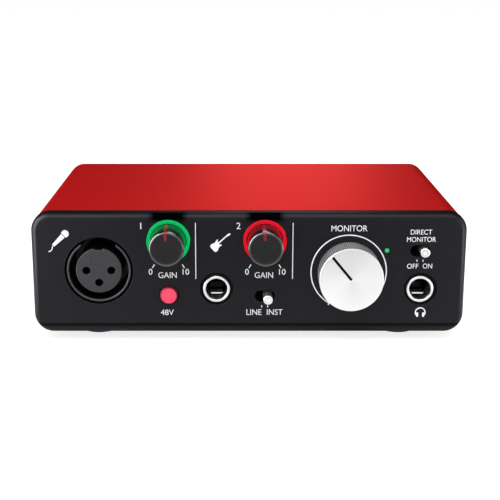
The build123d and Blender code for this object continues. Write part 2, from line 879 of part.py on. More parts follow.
# Quarter inch sockets: a housing with a nose in the front plate, a metal ring in the
# nose, and two bent contact springs that reach into the chamber behind it. The housing
# stands on a narrow foot, so that it clears the upper lip of the board's slot.
jack_base = board_top + board_fit + slot_lip + part_gap
for name, (x, z) in jack_at.items():
    with BuildPart() as jack:
        with BuildSketch(upright(jack_depth)):
            with Locations((x, (jack_base + z + jack_crown) / 2)):
                RectangleRounded(jack_width, z + jack_crown - jack_base, jack_width / 16)
            with Locations((x, (board_top + z) / 2)):
                Rectangle(jack_foot_width, z - board_top)
        extrude(amount=jack_depth - bezel_plate)
        with BuildSketch(upright(bezel_plate)):
            with Locations((x, z)):
                Circle(jack_nose)
        extrude(amount=bezel_plate - jack_nose_recess)
        with BuildSketch(upright(jack_chamber_depth)):
            with Locations((x, z)):
                Circle(jack_chamber)
                Rectangle(contact_width + part_gap, 2 * (contact_track + contact_thickness))
        extrude(amount=jack_chamber_depth - jack_ring_length, mode=Mode.SUBTRACT)
        with BuildSketch(upright(jack_ring_length)):
            with Locations((x, z)):
                Circle(jack_ring_radius + seat_fit)
        extrude(amount=jack_ring_length, mode=Mode.SUBTRACT)
    save(jack, f"{name}_jack")

    with BuildPart() as ring:
        with BuildSketch(upright(jack_ring_length)):
            with Locations((x, z)):
                Circle(jack_ring_radius)
                Circle(jack_bore, mode=Mode.SUBTRACT)
        extrude(amount=jack_ring_length)
        chamfer(ring.faces().sort_by(Axis.Y)[0].edges(), jack_chamfer)
    save(ring, f"{name}_jack_ring")

    spring_back = face_y + jack_chamber_depth
    spring_bend = face_y + jack_chamber_depth * 0.75
    spring_crest = face_y + jack_ring_length + contact_track
    with BuildPart() as springs:
        with BuildSketch(Plane.YZ.offset(x)):
            with BuildLine():
                Polyline(
                    (spring_back, z - contact_track),
                    (spring_bend, z - contact_track),
                    (spring_crest, z - contact_crest),
                    (spring_crest - contact_crest, z - 2 * contact_crest),
                )
            trace(line_width=contact_thickness)
            with BuildLine():
                Polyline(
                    (spring_back, z + contact_track),
                    (spring_bend, z + contact_track),
                    (spring_crest + contact_guide, z + contact_guide),
                    (spring_crest, z + contact_guide + contact_thickness),
                )
            trace(line_width=contact_thickness)
        extrude(amount=contact_width / 2, both=True)
    save(springs, f"{name}_jack_contacts")

# Twin phono sockets: one block behind the rear plate, and for each socket a metal
# shell, a plastic insert and a tube contact in its middle
with BuildPart() as phono_block:
    with BuildSketch(upright(rear_inner)):
        with Locations((phono_x, board_top + phono_block_height / 2)):
            Rectangle(phono_block_width, phono_block_height)
        with Locations(phono_screw_at):
            Circle(screw_radius + shaft_fit, mode=Mode.SUBTRACT)
    extrude(amount=phono_block_depth)
save(phono_block, "phono_block")

phono_tip = rear_outer + phono_reach
phono_face = phono_tip - phono_insert_recess
phono_bore = phono_radius - phono_wall
for hand, place in phono_at.items():
    with BuildPart() as shell:
        with BuildSketch(upright(phono_tip)):
            with Locations(place):
                Circle(phono_radius)
                Circle(phono_bore, mode=Mode.SUBTRACT)
        extrude(amount=phono_tip - rear_inner)
        with BuildSketch(upright(rear_outer + phono_collar_proud)):
            with Locations(place):
                Circle(phono_collar)
                Circle(phono_radius, mode=Mode.SUBTRACT)
        extrude(amount=rear_plate + phono_collar_proud)
    save(shell, f"phono_shell_{hand}")

    with BuildPart() as insert:
        with BuildSketch(upright(phono_face)):
            with Locations(place):
                Circle(phono_bore - seat_fit)
        extrude(amount=phono_face - rear_inner)
        with BuildSketch(upright(phono_face)):
            with Locations(place):
                Circle(phono_pin_bore + phono_contact_wall + seat_fit)
        extrude(amount=phono_contact_length, mode=Mode.SUBTRACT)
    save(insert, f"phono_insert_{hand}")

with BuildPart() as phono_contacts:
    with BuildSketch(upright(phono_face)):
        with Locations(*phono_at.values()):
            Circle(phono_pin_bore + phono_contact_wall)
            Circle(phono_pin_bore, mode=Mode.SUBTRACT)
    extrude(amount=phono_contact_length)
save(phono_contacts, "phono_contacts")

# Square data socket: a folded metal shell round a plastic body with a contact tongue
usb_face = rear_outer + usb_proud
with BuildPart() as usb_shell:
    with BuildSketch(upright(usb_face)):
        with Locations(usb_at):
            Rectangle(usb_width, usb_height)
            Rectangle(usb_width - 2 * usb_wall, usb_height - 2 * usb_wall, mode=Mode.SUBTRACT)
    extrude(amount=usb_depth)
save(usb_shell, "usb_shell")

with BuildPart() as usb_body:
    with BuildSketch(upright(usb_face - usb_wall)):
        with Locations(usb_at):
            body_width = usb_width - 2 * (usb_wall + seat_fit)
            Rectangle(body_width, usb_height - 2 * (usb_wall + seat_fit))
    extrude(amount=usb_depth - usb_wall)
    with BuildSketch(upright(usb_face)) as usb_mouth:
        with Locations(usb_at):
            Rectangle(usb_mouth_width, usb_mouth_height)
        chamfer(usb_mouth.vertices().group_by(Axis.Y)[-1], usb_mouth_chamfer)
    extrude(amount=usb_mouth_depth, mode=Mode.SUBTRACT)
    with BuildSketch(upright(usb_face - usb_tongue_recess)):
        with Locations(usb_at):
            Rectangle(usb_tongue_width, usb_tongue_height)
    extrude(amount=usb_mouth_depth - usb_tongue_recess)
save(usb_body, "usb_body")

# Parts on the main board
with BuildPart() as capacitors:
    with BuildSketch(level(board_top)):
        with Locations((phono_x, face_y + power_depth)):
            with GridLocations(can_pitch, can_pitch, 3, 2):
                Circle(can_radius)
    extrude(amount=can_height)
    fillet(capacitors.faces().group_by(Axis.Z)[-1].edges(), can_radius / 5)
save(capacitors, "capacitors")

with BuildPart() as chips:
    with BuildSketch(level(board_top)):
        for share, depth, size in zip(chip_shares, chip_depths, chip_sizes):
            with Locations((across(share), face_y + depth)):
                Rectangle(size, size)
    extrude(amount=chip_height)
save(chips, "chips")

with BuildPart() as inductor:
    with BuildSketch(level(board_top)):
        with Locations((lock_at[0], face_y + power_depth)):
            RectangleRounded(coil_size, coil_size, coil_size / 5)
    extrude(amount=coil_height)
save(inductor, "inductor")

with BuildPart() as crystal:
    with BuildSketch(level(board_top)):
        with Locations((usb_at[0], face_y + power_depth - 2 * crystal_length)):
            SlotOverall(crystal_length, crystal_width)
    extrude(amount=crystal_height)
    fillet(crystal.faces().sort_by(Axis.Z)[-1].edges(), crystal_width / 8)
save(crystal, "crystal")
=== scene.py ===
import json
from math import cos, pi, radians, sin, tan

import bmesh
import bpy
import numpy as np
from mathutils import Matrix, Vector
from mathutils.geometry import tessellate_polygon

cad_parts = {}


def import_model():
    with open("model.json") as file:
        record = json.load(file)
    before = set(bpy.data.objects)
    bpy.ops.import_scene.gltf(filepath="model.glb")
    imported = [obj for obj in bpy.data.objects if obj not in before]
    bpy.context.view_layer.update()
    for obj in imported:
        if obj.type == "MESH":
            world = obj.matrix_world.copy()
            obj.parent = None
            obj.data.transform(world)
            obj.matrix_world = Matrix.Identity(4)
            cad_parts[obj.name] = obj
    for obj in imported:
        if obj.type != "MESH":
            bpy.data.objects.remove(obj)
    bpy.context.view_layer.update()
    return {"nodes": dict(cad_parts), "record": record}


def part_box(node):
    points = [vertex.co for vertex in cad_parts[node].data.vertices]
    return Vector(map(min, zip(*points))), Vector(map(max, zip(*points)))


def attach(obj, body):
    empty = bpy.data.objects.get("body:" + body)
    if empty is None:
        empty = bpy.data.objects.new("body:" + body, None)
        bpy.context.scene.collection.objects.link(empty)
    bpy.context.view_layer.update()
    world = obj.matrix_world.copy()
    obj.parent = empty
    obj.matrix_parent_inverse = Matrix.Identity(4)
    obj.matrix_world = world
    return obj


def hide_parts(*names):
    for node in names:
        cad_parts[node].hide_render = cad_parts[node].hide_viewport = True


# A small audio interface: red sleeve, black front moulding with knobs, sockets and lamps.
# Lengths are in millimetres and become metres in meshOf. A depth is measured backwards from
# the front face, so what stands proud of it has a negative one.

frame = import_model()
nodes = frame["nodes"]
print("frame:", len(nodes), "nodes")

perMetre = 1000.0


def boxOf(name):
    # lowest and highest corner of a CAD node, in millimetres
    low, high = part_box(name)
    return np.array(low) * perMetre, np.array(high) * perMetre


def middleOf(name):
    # middle of a CAD node as seen from the front
    low, high = boxOf(name)
    return (low[[0, 2]] + high[[0, 2]]) / 2


def halfOf(name):
    # half the width and half the height of a CAD node as seen from the front
    low, high = boxOf(name)
    return (high[[0, 2]] - low[[0, 2]]) / 2


faceY = boxOf("front_bezel")[0][1]
underside = boxOf("front_bezel")[0][2]


def depthsOf(name):
    # nearest and farthest depth of a CAD node
    low, high = boxOf(name)
    return low[1] - faceY, high[1] - faceY


class Wire:
    # One output of a node. Arithmetic on it adds Math nodes; node() adds any other kind.
    def __init__(self, tree, socket=None):
        self.tree = tree
        self.socket = socket

    def node(self, kind, settings=None, inputs=None, output=0):
        made = self.tree.nodes.new(kind)
        for key, value in (settings or {}).items():
            setattr(made, key, value)
        for key, value in (inputs or {}).items():
            if isinstance(value, Wire):
                self.tree.links.new(value.socket, made.inputs[key])
            else:
                made.inputs[key].default_value = value
        return Wire(self.tree, made.outputs[output] if len(made.outputs) else None)

    def maths(self, operation, first, second=0.0):
        return self.node("ShaderNodeMath", {"operation": operation}, {0: first, 1: second})

    def vector(self, operation, inputs, output=0):
        return self.node("ShaderNodeVectorMath", {"operation": operation}, inputs, output)

    def __add__(self, other):
        return self.maths("ADD", self, other)

    def __radd__(self, other):
        return self.maths("ADD", other, self)

    def __sub__(self, other):
        return self.maths("SUBTRACT", self, other)

    def __rsub__(self, other):
        return self.maths("SUBTRACT", other, self)

    def __mul__(self, other):
        return self.maths("MULTIPLY", self, other)

    def __rmul__(self, other):
        return self.maths("MULTIPLY", other, self)


def startMaterial(name):
    # an empty material and the wire of its object coordinates
    material = bpy.data.materials.new(name)
    material.use_nodes = True
    material.node_tree.nodes.clear()
    return material, Wire(material.node_tree).node("ShaderNodeTexCoord", output="Object")


def noise(place, size, detail=2.0, stretch=(1, 1, 1)):
    # cloudy values from 0 to 1, with features of the given size in millimetres
    if stretch != (1, 1, 1):
        place = place.node("ShaderNodeMapping", inputs={"Vector": place, "Scale": stretch})
    inputs = {"Vector": place, "Scale": perMetre / size, "Detail": detail}
    return place.node("ShaderNodeTexNoise", inputs=inputs)


def colourOf(held):
    # a grey level or a colour with its alpha; a wire stays as it is
    if isinstance(held, Wire):
        return held
    return (held, held, held, 1) if isinstance(held, float) else (*held, 1)


def blend(amount, first, second):
    # a colour between two others, either of which may be a wire
    inputs = {0: amount, 6: colourOf(first), 7: colourOf(second)}
    return amount.node("ShaderNodeMix", {"data_type": "RGBA"}, inputs, output=2)


def between(value, low, high):
    # 0 below low, 1 above high, and even in between
    return value.node("ShaderNodeMapRange", {"clamp": True}, {0: value, 1: low, 2: high, 3: 0.0, 4: 1.0})


def fromAxis(place, middle):
    # distance in millimetres from an axis that runs front to back, and the way from it
    shift = (-middle[0] / perMetre, 0.0, -middle[1] / perMetre)
    moved = place.node("ShaderNodeMapping", inputs={"Vector": place, "Location": shift})
    flat = place.vector("MULTIPLY", {0: moved, 1: (1, 0, 1)})
    return place.vector("LENGTH", {0: flat}, "Value") * perMetre, flat


def across(place):
    # the three object coordinates in millimetres
    split = place.node("ShaderNodeSeparateXYZ", inputs={0: place}).socket.node.outputs
    return [Wire(place.tree, split[axis]) * perMetre for axis in range(3)]


def endMaterial(material, place, sockets, height=None, step=0.0):
    # Principled shader with the given sockets; height is a bump whose full step is in millimetres
    inputs = dict(sockets)
    if height is not None:
        lift = {"Height": height, "Distance": step / perMetre, "Strength": 1.0}
        inputs["Normal"] = place.node("ShaderNodeBump", inputs=lift)
    for key, value in inputs.items():
        if isinstance(value, tuple) and len(value) == 3 and key != "Normal":
            inputs[key] = (*value, 1)
    shader = place.node("ShaderNodeBsdfPrincipled", inputs=inputs)
    place.node("ShaderNodeOutputMaterial", inputs={"Surface": shader})
    return material


def plainFinish(name, size, detail, colours, roughness, step, sockets=None, stretch=(1, 1, 1)):
    # one grain gives the colour between two, roughness = first + second * grain, and the bump
    material, place = startMaterial(name)
    grain = noise(place, size, detail, stretch)
    held = {"Base Color": blend(grain, *colours), "Roughness": roughness[0] + grain * roughness[1]}
    return endMaterial(material, place, {**held, **(sockets or {})}, grain, step)


bareMetal = {"Metallic": 1.0}
# Each plain finish: its grain's size in millimetres and detail, two colours or grey levels, two
# parts of its roughness, the step of its bump, other sockets, and a stretch of the grain.
plainFinishes = {
    # powder coat with a slight orange peel
    "blackPaint": (0.5, 2, ((0.010, 0.010, 0.011), (0.016, 0.016, 0.018)), (0.42, 0.12), 0.02,
                   {"Specular IOR Level": 0.35}),
    "darkSteel": (0.3, 3, ((0.030, 0.030, 0.032), (0.075, 0.075, 0.080)), (0.32, 0.16), 0.006,
                  {"Metallic": 0.8}),
    # brushed along its length
    "steel": (0.4, 3, ((0.42, 0.42, 0.41), (0.66, 0.66, 0.65)), (0.28, 0.18), 0.004, bareMetal, (1, 0.08, 1)),
    "rubber": (0.35, 3, (0.007, 0.014), (0.72, 0.15), 0.02, {"Specular IOR Level": 0.25}),
    "whitePlastic": (0.4, 2, ((0.70, 0.70, 0.68), (0.80, 0.80, 0.78)), (0.30, 0.10), 0.003),
    "redPlastic": (0.3, 2, ((0.36, 0.006, 0.012), (0.50, 0.012, 0.020)), (0.22, 0.10), 0.003),
    # nickel plate
    "brightMetal": (0.3, 3, (0.72, (0.82, 0.82, 0.81)), (0.24, 0.12), 0.002, bareMetal),
    "brass": (0.3, 3, ((0.62, 0.42, 0.13), (0.78, 0.56, 0.22)), (0.20, 0.12), 0.002, bareMetal),
    # near-black inside of a socket, far darker than its moulding: painted shade
    "paintedShadeBlack": (0.3, 2, ((0.0010, 0.0010, 0.0012), (0.0018, 0.0018, 0.0020)), (0.5, 0.1), 0.003,
                    {"Specular IOR Level": 0.08}),
    # deep red lacquer let into a knob's cap
    "inlayRed": (0.3, 2, ((0.15, 0.003, 0.006), (0.20, 0.006, 0.012)), (0.16, 0.08), 0.002),
    # thin, slightly uneven film of the printed legends
    "inkWhite": (0.25, 2, ((0.78, 0.78, 0.79), (0.88, 0.88, 0.89)), (0.5, 0.1), 0.002,
                 {"Specular IOR Level": 0.3}),
    # paint in the monitor knob's mark
    "markBlack": (0.2, 2, (0.002, 0.004), (0.45, 0.1), 0.002, {"Specular IOR Level": 0.03}),
}


def redAnodised():
    # satin red, a fine blasted grain under a dyed clear layer: colour follows 0.6 grain + 0.4 drift
    material, place = startMaterial("redAnodised")
    grain = noise(place, 0.16, 3)
    drift = noise(place, 60)
    colour = blend(grain * 0.6 + drift * 0.4, (0.262, 0.0004, 0.0003), (0.32, 0.0007, 0.0005))
    sockets = {"Base Color": colour, "Roughness": 0.46 + grain * 0.1, "Metallic": 0.4,
               "Specular Tint": (1.0, 0.30, 0.28), "Specular IOR Level": 0.0, "Coat Weight": 0.08,
               "Coat IOR": 1.8, "Coat Roughness": 0.6}
    return endMaterial(material, place, sockets, grain, 0.004)


# Where the front moulding carries painted shade, in millimetres from its gain knobs, front, top and
# underside.
paintedShadeSizes = {"shadeAside": (4.6, 7.0), "shadeFoot": (6.2, 7.6), "shadeTop": (9.45, 9.65),
             "edgeFront": (0.05, 0.8), "edgeBack": (0.8, 2.6), "edgeRise": (-2.4, -1.9),
             "edgeShares": (0.3, 0.48), "bandFoot": (2.25, 2.75), "bandTop": (3.25, 3.8),
             "bandDepth": (0.5, 1.5), "bandShare": 0.68, "joint": (2.2, 3.0)}


def blackMoulding():
    # Satin black moulding with a fine spark-eroded texture, mixed by an amount with a near-black matte
    # shader that is painted shade: over the light rings = inside their width * inside their height,
    # along the upper edge = rising from the front to the sleeve, and in a band low on the face.
    sizes = paintedShadeSizes
    material, place = startMaterial("blackMoulding")
    grain = noise(place, 0.22, 3)
    colour = blend(noise(place, 25), (0.0040, 0.0037, 0.0062), (0.0052, 0.0049, 0.0078))
    lift = place.node("ShaderNodeBump", inputs={"Height": grain, "Distance": 0.003 / perMetre})
    x, y, z = across(place)
    depth = y - faceY
    roughness = 0.34 + grain * 0.12 + between(depth, *sizes["joint"]) * 0.3
    inputs = {"Base Color": colour, "Roughness": roughness, "Normal": lift, "Specular IOR Level": 0.165}
    satin = place.node("ShaderNodeBsdfPrincipled", inputs=inputs)
    # near-black matte shader: painted shade over the rings, along the top edge and low on the face
    paintedShade = place.node("ShaderNodeBsdfDiffuse", inputs={"Color": (0.0008, 0.0008, 0.001, 1)})
    amount = 0
    for number in (1, 2):
        middle = middleOf(f"gain_knob_{number}")
        aside = place.maths("ABSOLUTE", x - middle[0])
        above = z - middle[1]
        amount += (1 - between(aside, *sizes["shadeAside"])) * between(above, *sizes["shadeFoot"])
    amount = amount * (1 - between(above, *sizes["shadeTop"]))
    first, second = sizes["edgeShares"]
    edge = between(depth, *sizes["edgeFront"]) * first + between(depth, *sizes["edgeBack"]) * second
    edge = edge * between(z - boxOf("front_bezel")[1][2], *sizes["edgeRise"])
    amount = amount + edge * (1 - amount)
    rise = z - underside
    low = between(rise, *sizes["bandFoot"]) * (1 - between(rise, *sizes["bandTop"]))
    amount = amount + low * (1 - between(depth, *sizes["bandDepth"])) * sizes["bandShare"]
    mixed = place.node("ShaderNodeMixShader", inputs={0: amount, 1: satin, 2: paintedShade})
    place.node("ShaderNodeOutputMaterial", inputs={"Surface": mixed})
    return material


def circuitBoard():
    # green lacquer over faint copper tracks that run in bands
    material, place = startMaterial("circuitBoard")
    inputs = {"Vector": place, "Scale": 220.0, "Distortion": 3.0, "Detail": 1.0}
    bands = place.node("ShaderNodeTexWave", {"wave_profile": "SIN"}, inputs, output="Fac")
    tracks = between(bands, 0.55, 0.75)
    colour = blend(tracks, (0.006, 0.070, 0.022), (0.016, 0.130, 0.040))
    sockets = {"Base Color": colour, "Roughness": 0.30 + tracks * 0.10}
    return endMaterial(material, place, sockets, tracks, 0.03)


def darkGloss():
    # polished near-black knob cap with a lacquered rim: coat = near the rim * near the front
    material, place = startMaterial("darkGloss")
    grain = noise(place, 2.5, 2)
    depth = across(place)[1] - boxOf("gain_knob_1")[0][1]
    inner, outer, front = gainSizes["coat"]
    rim = 0
    for number in (1, 2):
        reach, _ = fromAxis(place, middleOf(f"gain_knob_{number}"))
        rim = between(reach, *inner) * (1 - between(reach, *outer)) + rim
    sockets = {"Base Color": blend(grain, (0.005, 0.005, 0.006), (0.007, 0.007, 0.008)),
               "Roughness": 0.12 + grain * 0.06, "Specular IOR Level": 0.4,
               "Coat Weight": rim * (1 - between(depth, *front)), "Coat IOR": 1.55, "Coat Roughness": 0.2}
    return endMaterial(material, place, sockets, grain, 0.002)


def steppedPlastic(name, size, roughness, level, depths, front, back, step):
    # moulded plastic that turns from its front colour to its back one between two depths; either
    # colour may be a pair, which the grain blends
    material, place = startMaterial(name)
    grain = noise(place, size, 3)
    first, second = (blend(grain, *held) if len(held) == 2 else held for held in (front, back))
    # the darker back colour, deeper in, is painted shade in recesses
    behind = between(across(place)[1] - faceY, *depths)
    sockets = {"Base Color": blend(behind, first, second), "Roughness": roughness[0] + grain * roughness[1],
               "Specular IOR Level": level}
    return endMaterial(material, place, sockets, grain, step)


def dimmed(colour, share):
    # a share of a colour
    return tuple(share * part for part in colour)


def litRing(name, node, colour, rim):
    # light ring of a gain knob: even glow with a paler line along both of its edges
    sizes = ringSizes
    material, place = startMaterial(name)
    reach, _ = fromAxis(place, middleOf(node))
    low, high = sizes["bore"], sizes["radius"]
    edge = 1 - between(reach, low, low + sizes["paleInside"])
    edge = edge + between(reach, high - sizes["paleOutside"], high)
    grain = noise(place, 0.5, 2)
    glow = blend(edge, blend(grain, colour, dimmed(colour, 0.92)), rim)
    sockets = {"Base Color": dimmed(colour, 0.1), "Roughness": 0.3 + grain * 0.1,
               "Specular IOR Level": 0.04, "Emission Color": glow, "Emission Strength": sizes["glow"]}
    return endMaterial(material, place, sockets, grain, 0.002)


def litCap(name, node, sizes):
    # lit button or lamp: brighter in its middle, where the lamp sits behind it, dim at its rim
    material, place = startMaterial(name)
    reach, _ = fromAxis(place, middleOf(node))
    grain = noise(place, 0.35, 2)
    radius, lit, colour = sizes["radius"], sizes["lit"], sizes["colour"]
    glow = blend(between(reach, 0.1 * radius, 0.8 * radius), sizes["core"], colour)
    glow = blend(between(reach, lit - 0.12, lit + 0.12), glow, dimmed(colour, 0.06))
    sockets = {"Base Color": dimmed(colour, 0.1), "Roughness": 0.25 + grain * 0.1,
               "Specular IOR Level": 0.25, "Emission Color": glow, "Emission Strength": sizes["glow"]}
    return endMaterial(material, place, sockets, grain, 0.002)


def spunAluminium():
    # Monitor knob. Its face is turned on a lathe, so its normals lean outwards by the sum of two
    # sines of the radius, and opposite sectors of it are painted paler as a painted highlight.
    # Its knurled side is bare metal painted darker as painted shade, darkest along the knurl's valleys.
    sizes = monitorSizes
    material, place = startMaterial("spunAluminium")
    middle = middleOf("monitor_knob")
    reach, flat = fromAxis(place, middle)
    fine, coarse = (place.maths("SINE", reach * (2 * pi / pitch)) for pitch in sizes["ripples"])
    tilt = flat.vector("NORMALIZE", {0: flat})
    tilt = flat.vector("SCALE", {0: tilt, "Scale": (fine + coarse) * 0.045})
    normal = place.node("ShaderNodeNewGeometry", output="Normal")
    normal = flat.vector("NORMALIZE", {0: flat.vector("ADD", {0: normal, 1: tilt})})
    grain = noise(place, 0.2, 3)
    x, y, z = across(place)
    turn = place.maths("ARCTAN2", z - middle[1], x - middle[0])
    paintedSheen = place.maths("COSINE", (turn - radians(12)) * 2) * 0.5 + 0.5
    ridge = place.maths("COSINE", turn * sizes["ridges"]) * 0.5 + 0.5
    front = boxOf("monitor_knob")[0][1]
    side = between(y, front + 0.03, front + 0.1)
    # the paler sectors are a painted highlight; the side's darker colour and its darker knurl valleys are
    # painted shade
    colour = blend(side, blend(paintedSheen, 0.87, 0.96), blend(ridge, 0.26, 0.66))
    sockets = {"Base Color": colour, "Roughness": 0.26 + grain * 0.08 + side * 0.12, "Metallic": 1.0,
               "Normal": normal}
    return endMaterial(material, place, sockets)


# Sizes of the pieces whose finish follows their shape. Lengths are in millimetres; a glow is the
# strength of the light, and colour and core are its colours at the outside and in the middle.
gainSizes = {"radius": 5.7, "base": 5.8, "edge": 0.75, "dish": 0.12, "bore": 4.6, "hollow": 0.2, "foot": 0.15,
             "lip": 0.6, "coat": ((4.75, 4.95), (6.0, 6.1), (0.6, 0.85))}
monitorSizes = {"ridges": 105, "perRidge": 8, "knurl": 0.28, "sharpness": 0.8, "land": 0.2, "chamfer": 0.1,
                "foot": 0.25, "markWidth": 0.85, "markShare": 0.94, "markAngle": 39.5, "markLift": 0.03,
                "markSink": 0.1, "ripples": (0.13, 0.31), "backFlat": 2, "landStep": (0.05, -0.02),
                "sideReach": 0.3}
ringSizes = {"radius": 7.1, "bore": 6.1, "edge": 0.28, "back": 3.4, "glow": 0.9, "paleInside": 0.25,
             "paleOutside": 0.3}
buttonSizes = {"radius": 2.93, "edge": 0.3, "crown": 0.12, "lit": 2.55, "back": 2.8, "glow": 0.97,
               "colour": (0.95, 0.060, 0.130), "core": (1.0, 0.085, 0.145)}
lampSizes = {"radius": 0.85, "edge": 0.2, "lit": 0.72, "back": 2.5, "glow": 0.95,
             "colour": (0.020, 0.46, 0.15), "core": (0.045, 0.62, 0.24)}
xlrSizes = {"radius": 10.55, "cavity": 9.85, "edge": 0.3, "backEdge": 0.2, "floorEdge": 0.3, "insert": 7.55,
            "insertEdge": 0.25, "pin": 1.33, "pinCircle": 4.1, "pinEdge": 0.1, "keyWidth": 2.7,
            "keyDepth": 0.6, "latchWidth": 11.3, "latchDepth": 6.0, "latchSlope": 0.3, "latchFade": 4.0,
            "wall": 7, "back": 17.5, "label": (2.6, 1.65), "labelCorner": 0.4, "labelRise": 3.5,
            "labelDepth": 0.12, "labelEdge": 0.03, "lift": 0.1}

plain = {name: plainFinish(name, *held) for name, held in plainFinishes.items()}
finishes = {
    "red_anodised": redAnodised(),
    "black_plastic": blackMoulding(),
    "black_metal": plain["blackPaint"],
    "dark_steel": plain["darkSteel"],
    "steel": plain["steel"],
    "rubber": plain["rubber"],
    "circuit_board": circuitBoard(),
    "dark_gloss": darkGloss(),
    # the shell's rim is painted paler as a painted highlight and its cavity near black as painted shade; the
    # insert's holes are painted black as painted shade
    "dark_plastic": steppedPlastic("darkPlastic", 0.3, (0.26, 0.12), 0.3, (0.15, 0.6), (0.038, 0.038, 0.043),
                                   ((0.0012, 0.0012, 0.0015), (0.0022, 0.0022, 0.0026)), 0.003),
    "grey_plastic": steppedPlastic("greyPlastic", 0.25, (0.42, 0.15), 0.28, (0.35, 0.8),
                                   ((0.020, 0.020, 0.0235), (0.029, 0.029, 0.033)),
                                   (0.0008, 0.0008, 0.0010), 0.006),
    "white_plastic": plain["whitePlastic"],
    "red_plastic": plain["redPlastic"],
    "green_light": litRing("litGreen", "gain_knob_1", (0.003, 0.50, 0.105), (0.006, 0.60, 0.16)),
    "red_light": litRing("litRed", "gain_knob_2", (0.75, 0.006, 0.018), (0.86, 0.014, 0.034)),
    "green_lens": litCap("lensGreen", "status_led", lampSizes),
    "pink_light": litCap("litPink", "phantom_button", buttonSizes),
    "spun_aluminium": spunAluminium(),
    "bright_metal": plain["brightMetal"],
    "brass": plain["brass"],
}

for part in frame["record"]["subparts"]:
    held = nodes[part["node"]].data
    held.materials.clear()
    # the jack housings and the microphone socket's brass contacts wear near-black painted shade
    paintedShade = part["node"] in ("instrument_jack", "headphone_jack", "xlr_contacts")
    held.materials.append(plain["paintedShadeBlack"] if paintedShade else finishes[part["material_slot"]])
print("materials:", len(bpy.data.materials))


def softened(corners, radii, steps=8, guard=0.04):
    # A polyline whose inner corners turn into arcs. An arc's centre lies at its radius from both
    # runs; a guard point just outside each end keeps the flat runs flat when they are shaded.
    corners = np.array(corners, float)
    path = [corners[:1]]
    share = np.linspace(0, 1, steps + 1)[:, None]
    for before, corner, after, radius in zip(corners[:-2], corners[1:-1], corners[2:], radii):
        if not radius:
            path.append(corner[None])
            continue
        back = (before - corner) / np.linalg.norm(before - corner)
        ahead = (after - corner) / np.linalg.norm(after - corner)
        half = np.arccos(np.clip(back @ ahead, -1, 1)) / 2
        run = radius / tan(half)
        middle = corner + (back + ahead) / np.linalg.norm(back + ahead) * radius / sin(half)
        first = corner + back * run - middle
        last = corner + ahead * run - middle
        sweep = pi - 2 * half
        arc = (np.sin((1 - share) * sweep) * first + np.sin(share * sweep) * last) / sin(sweep)
        path += [(corner + back * (run + guard))[None], middle + arc, (corner + ahead * (run + guard))[None]]
    path.append(corners[-1:])
    return np.concatenate(path)


def outline(middle, half, radius, steps=12, guard=0.05):
    # A rounded box seen from the front, anticlockwise, as corner centres and directions: a point
    # is centre + (radius + grow) * direction. Each straight run has a guard point near its ends.
    angles = np.linspace(0, pi / 2, steps + 1)
    angles = np.concatenate((angles[:1], angles, angles[-1:]))
    runs = np.array(half, float) - radius
    centres, directions = [], []
    for quarter, sides in enumerate(((1, 1), (-1, 1), (-1, -1), (1, -1))):
        turn = angles + quarter * pi / 2
        way = np.column_stack((np.cos(turn), np.sin(turn)))
        spots = np.tile(np.array(middle) + np.array(sides) * runs, (steps + 3, 1))
        spots[0] -= guard * (runs[(quarter + 1) % 2] > guard) * np.array((-way[0, 1], way[0, 0]))
        spots[-1] += guard * (runs[quarter % 2] > guard) * np.array((-way[-1, 1], way[-1, 0]))
        centres.append(spots)
        directions.append(way)
    centres, directions = np.concatenate(centres), np.concatenate(directions)
    points = centres + max(radius, 1.0) * directions
    apart = np.linalg.norm(points - np.roll(points, 1, axis=0), axis=1) > 1e-6
    return centres[apart], directions[apart], radius


def circle(middle, steps=64):
    # a round outline whose grow is its radius
    turn = np.linspace(0, 2 * pi, steps, endpoint=False)
    directions = np.column_stack((np.cos(turn), np.sin(turn)))
    return np.tile(np.array(middle, float), (steps, 1)), directions, 0.0


def sheath(shape, profile):
    # Rows follow the profile's (grow, depth) pairs and columns the outline:
    # point = centre + (radius + grow) * direction, set at the depth.
    centres, directions, radius = shape
    flat = centres + (radius + profile[:, 0][:, None, None]) * directions
    rows = np.empty(flat.shape[:2] + (3,))
    rows[..., 0] = flat[..., 0]
    rows[..., 1] = faceY + profile[:, 1][:, None]
    rows[..., 2] = flat[..., 1]
    return rows


def quads(rows):
    # faces of a grid whose columns close on themselves
    index = np.arange(rows.shape[0] * rows.shape[1]).reshape(rows.shape[:2])
    index = np.hstack((index, index[:, :1]))
    return np.stack((index[:-1, :-1], index[1:, :-1], index[1:, 1:], index[:-1, 1:]), -1).reshape(-1, 4)


def band(rows):
    # a grid as a block of points and faces
    return rows.reshape(-1, 3), quads(rows)


def cover(*loops):
    # a flat face inside the first loop and outside the others
    triangles = tessellate_polygon([loop.tolist() for loop in loops])
    return np.concatenate(loops), np.array(triangles)


def meshOf(name, blocks, solid=True, sharp=40):
    # one mesh in metres from blocks; a solid's doubles are merged and its normals turned outwards
    points = np.concatenate([block[0] for block in blocks]) / perMetre
    starts = np.cumsum([0] + [len(block[0]) for block in blocks[:-1]])
    faces = [face for start, block in zip(starts, blocks) for face in (block[1] + start).tolist()]
    mesh = bpy.data.meshes.new(name)
    mesh.from_pydata(points.tolist(), [], faces)
    if solid:
        work = bmesh.new()
        work.from_mesh(mesh)
        bmesh.ops.remove_doubles(work, verts=work.verts, dist=1e-6)
        bmesh.ops.dissolve_degenerate(work, edges=work.edges, dist=1e-7)
        bmesh.ops.recalc_face_normals(work, faces=work.faces)
        work.to_mesh(mesh)
        work.free()
        mesh.shade_smooth()
        mesh.set_sharp_from_angle(angle=radians(sharp))
    return mesh


def addObject(name, data):
    # a new object in the scene
    made = bpy.data.objects.new(name, data)
    bpy.context.scene.collection.objects.link(made)
    return made


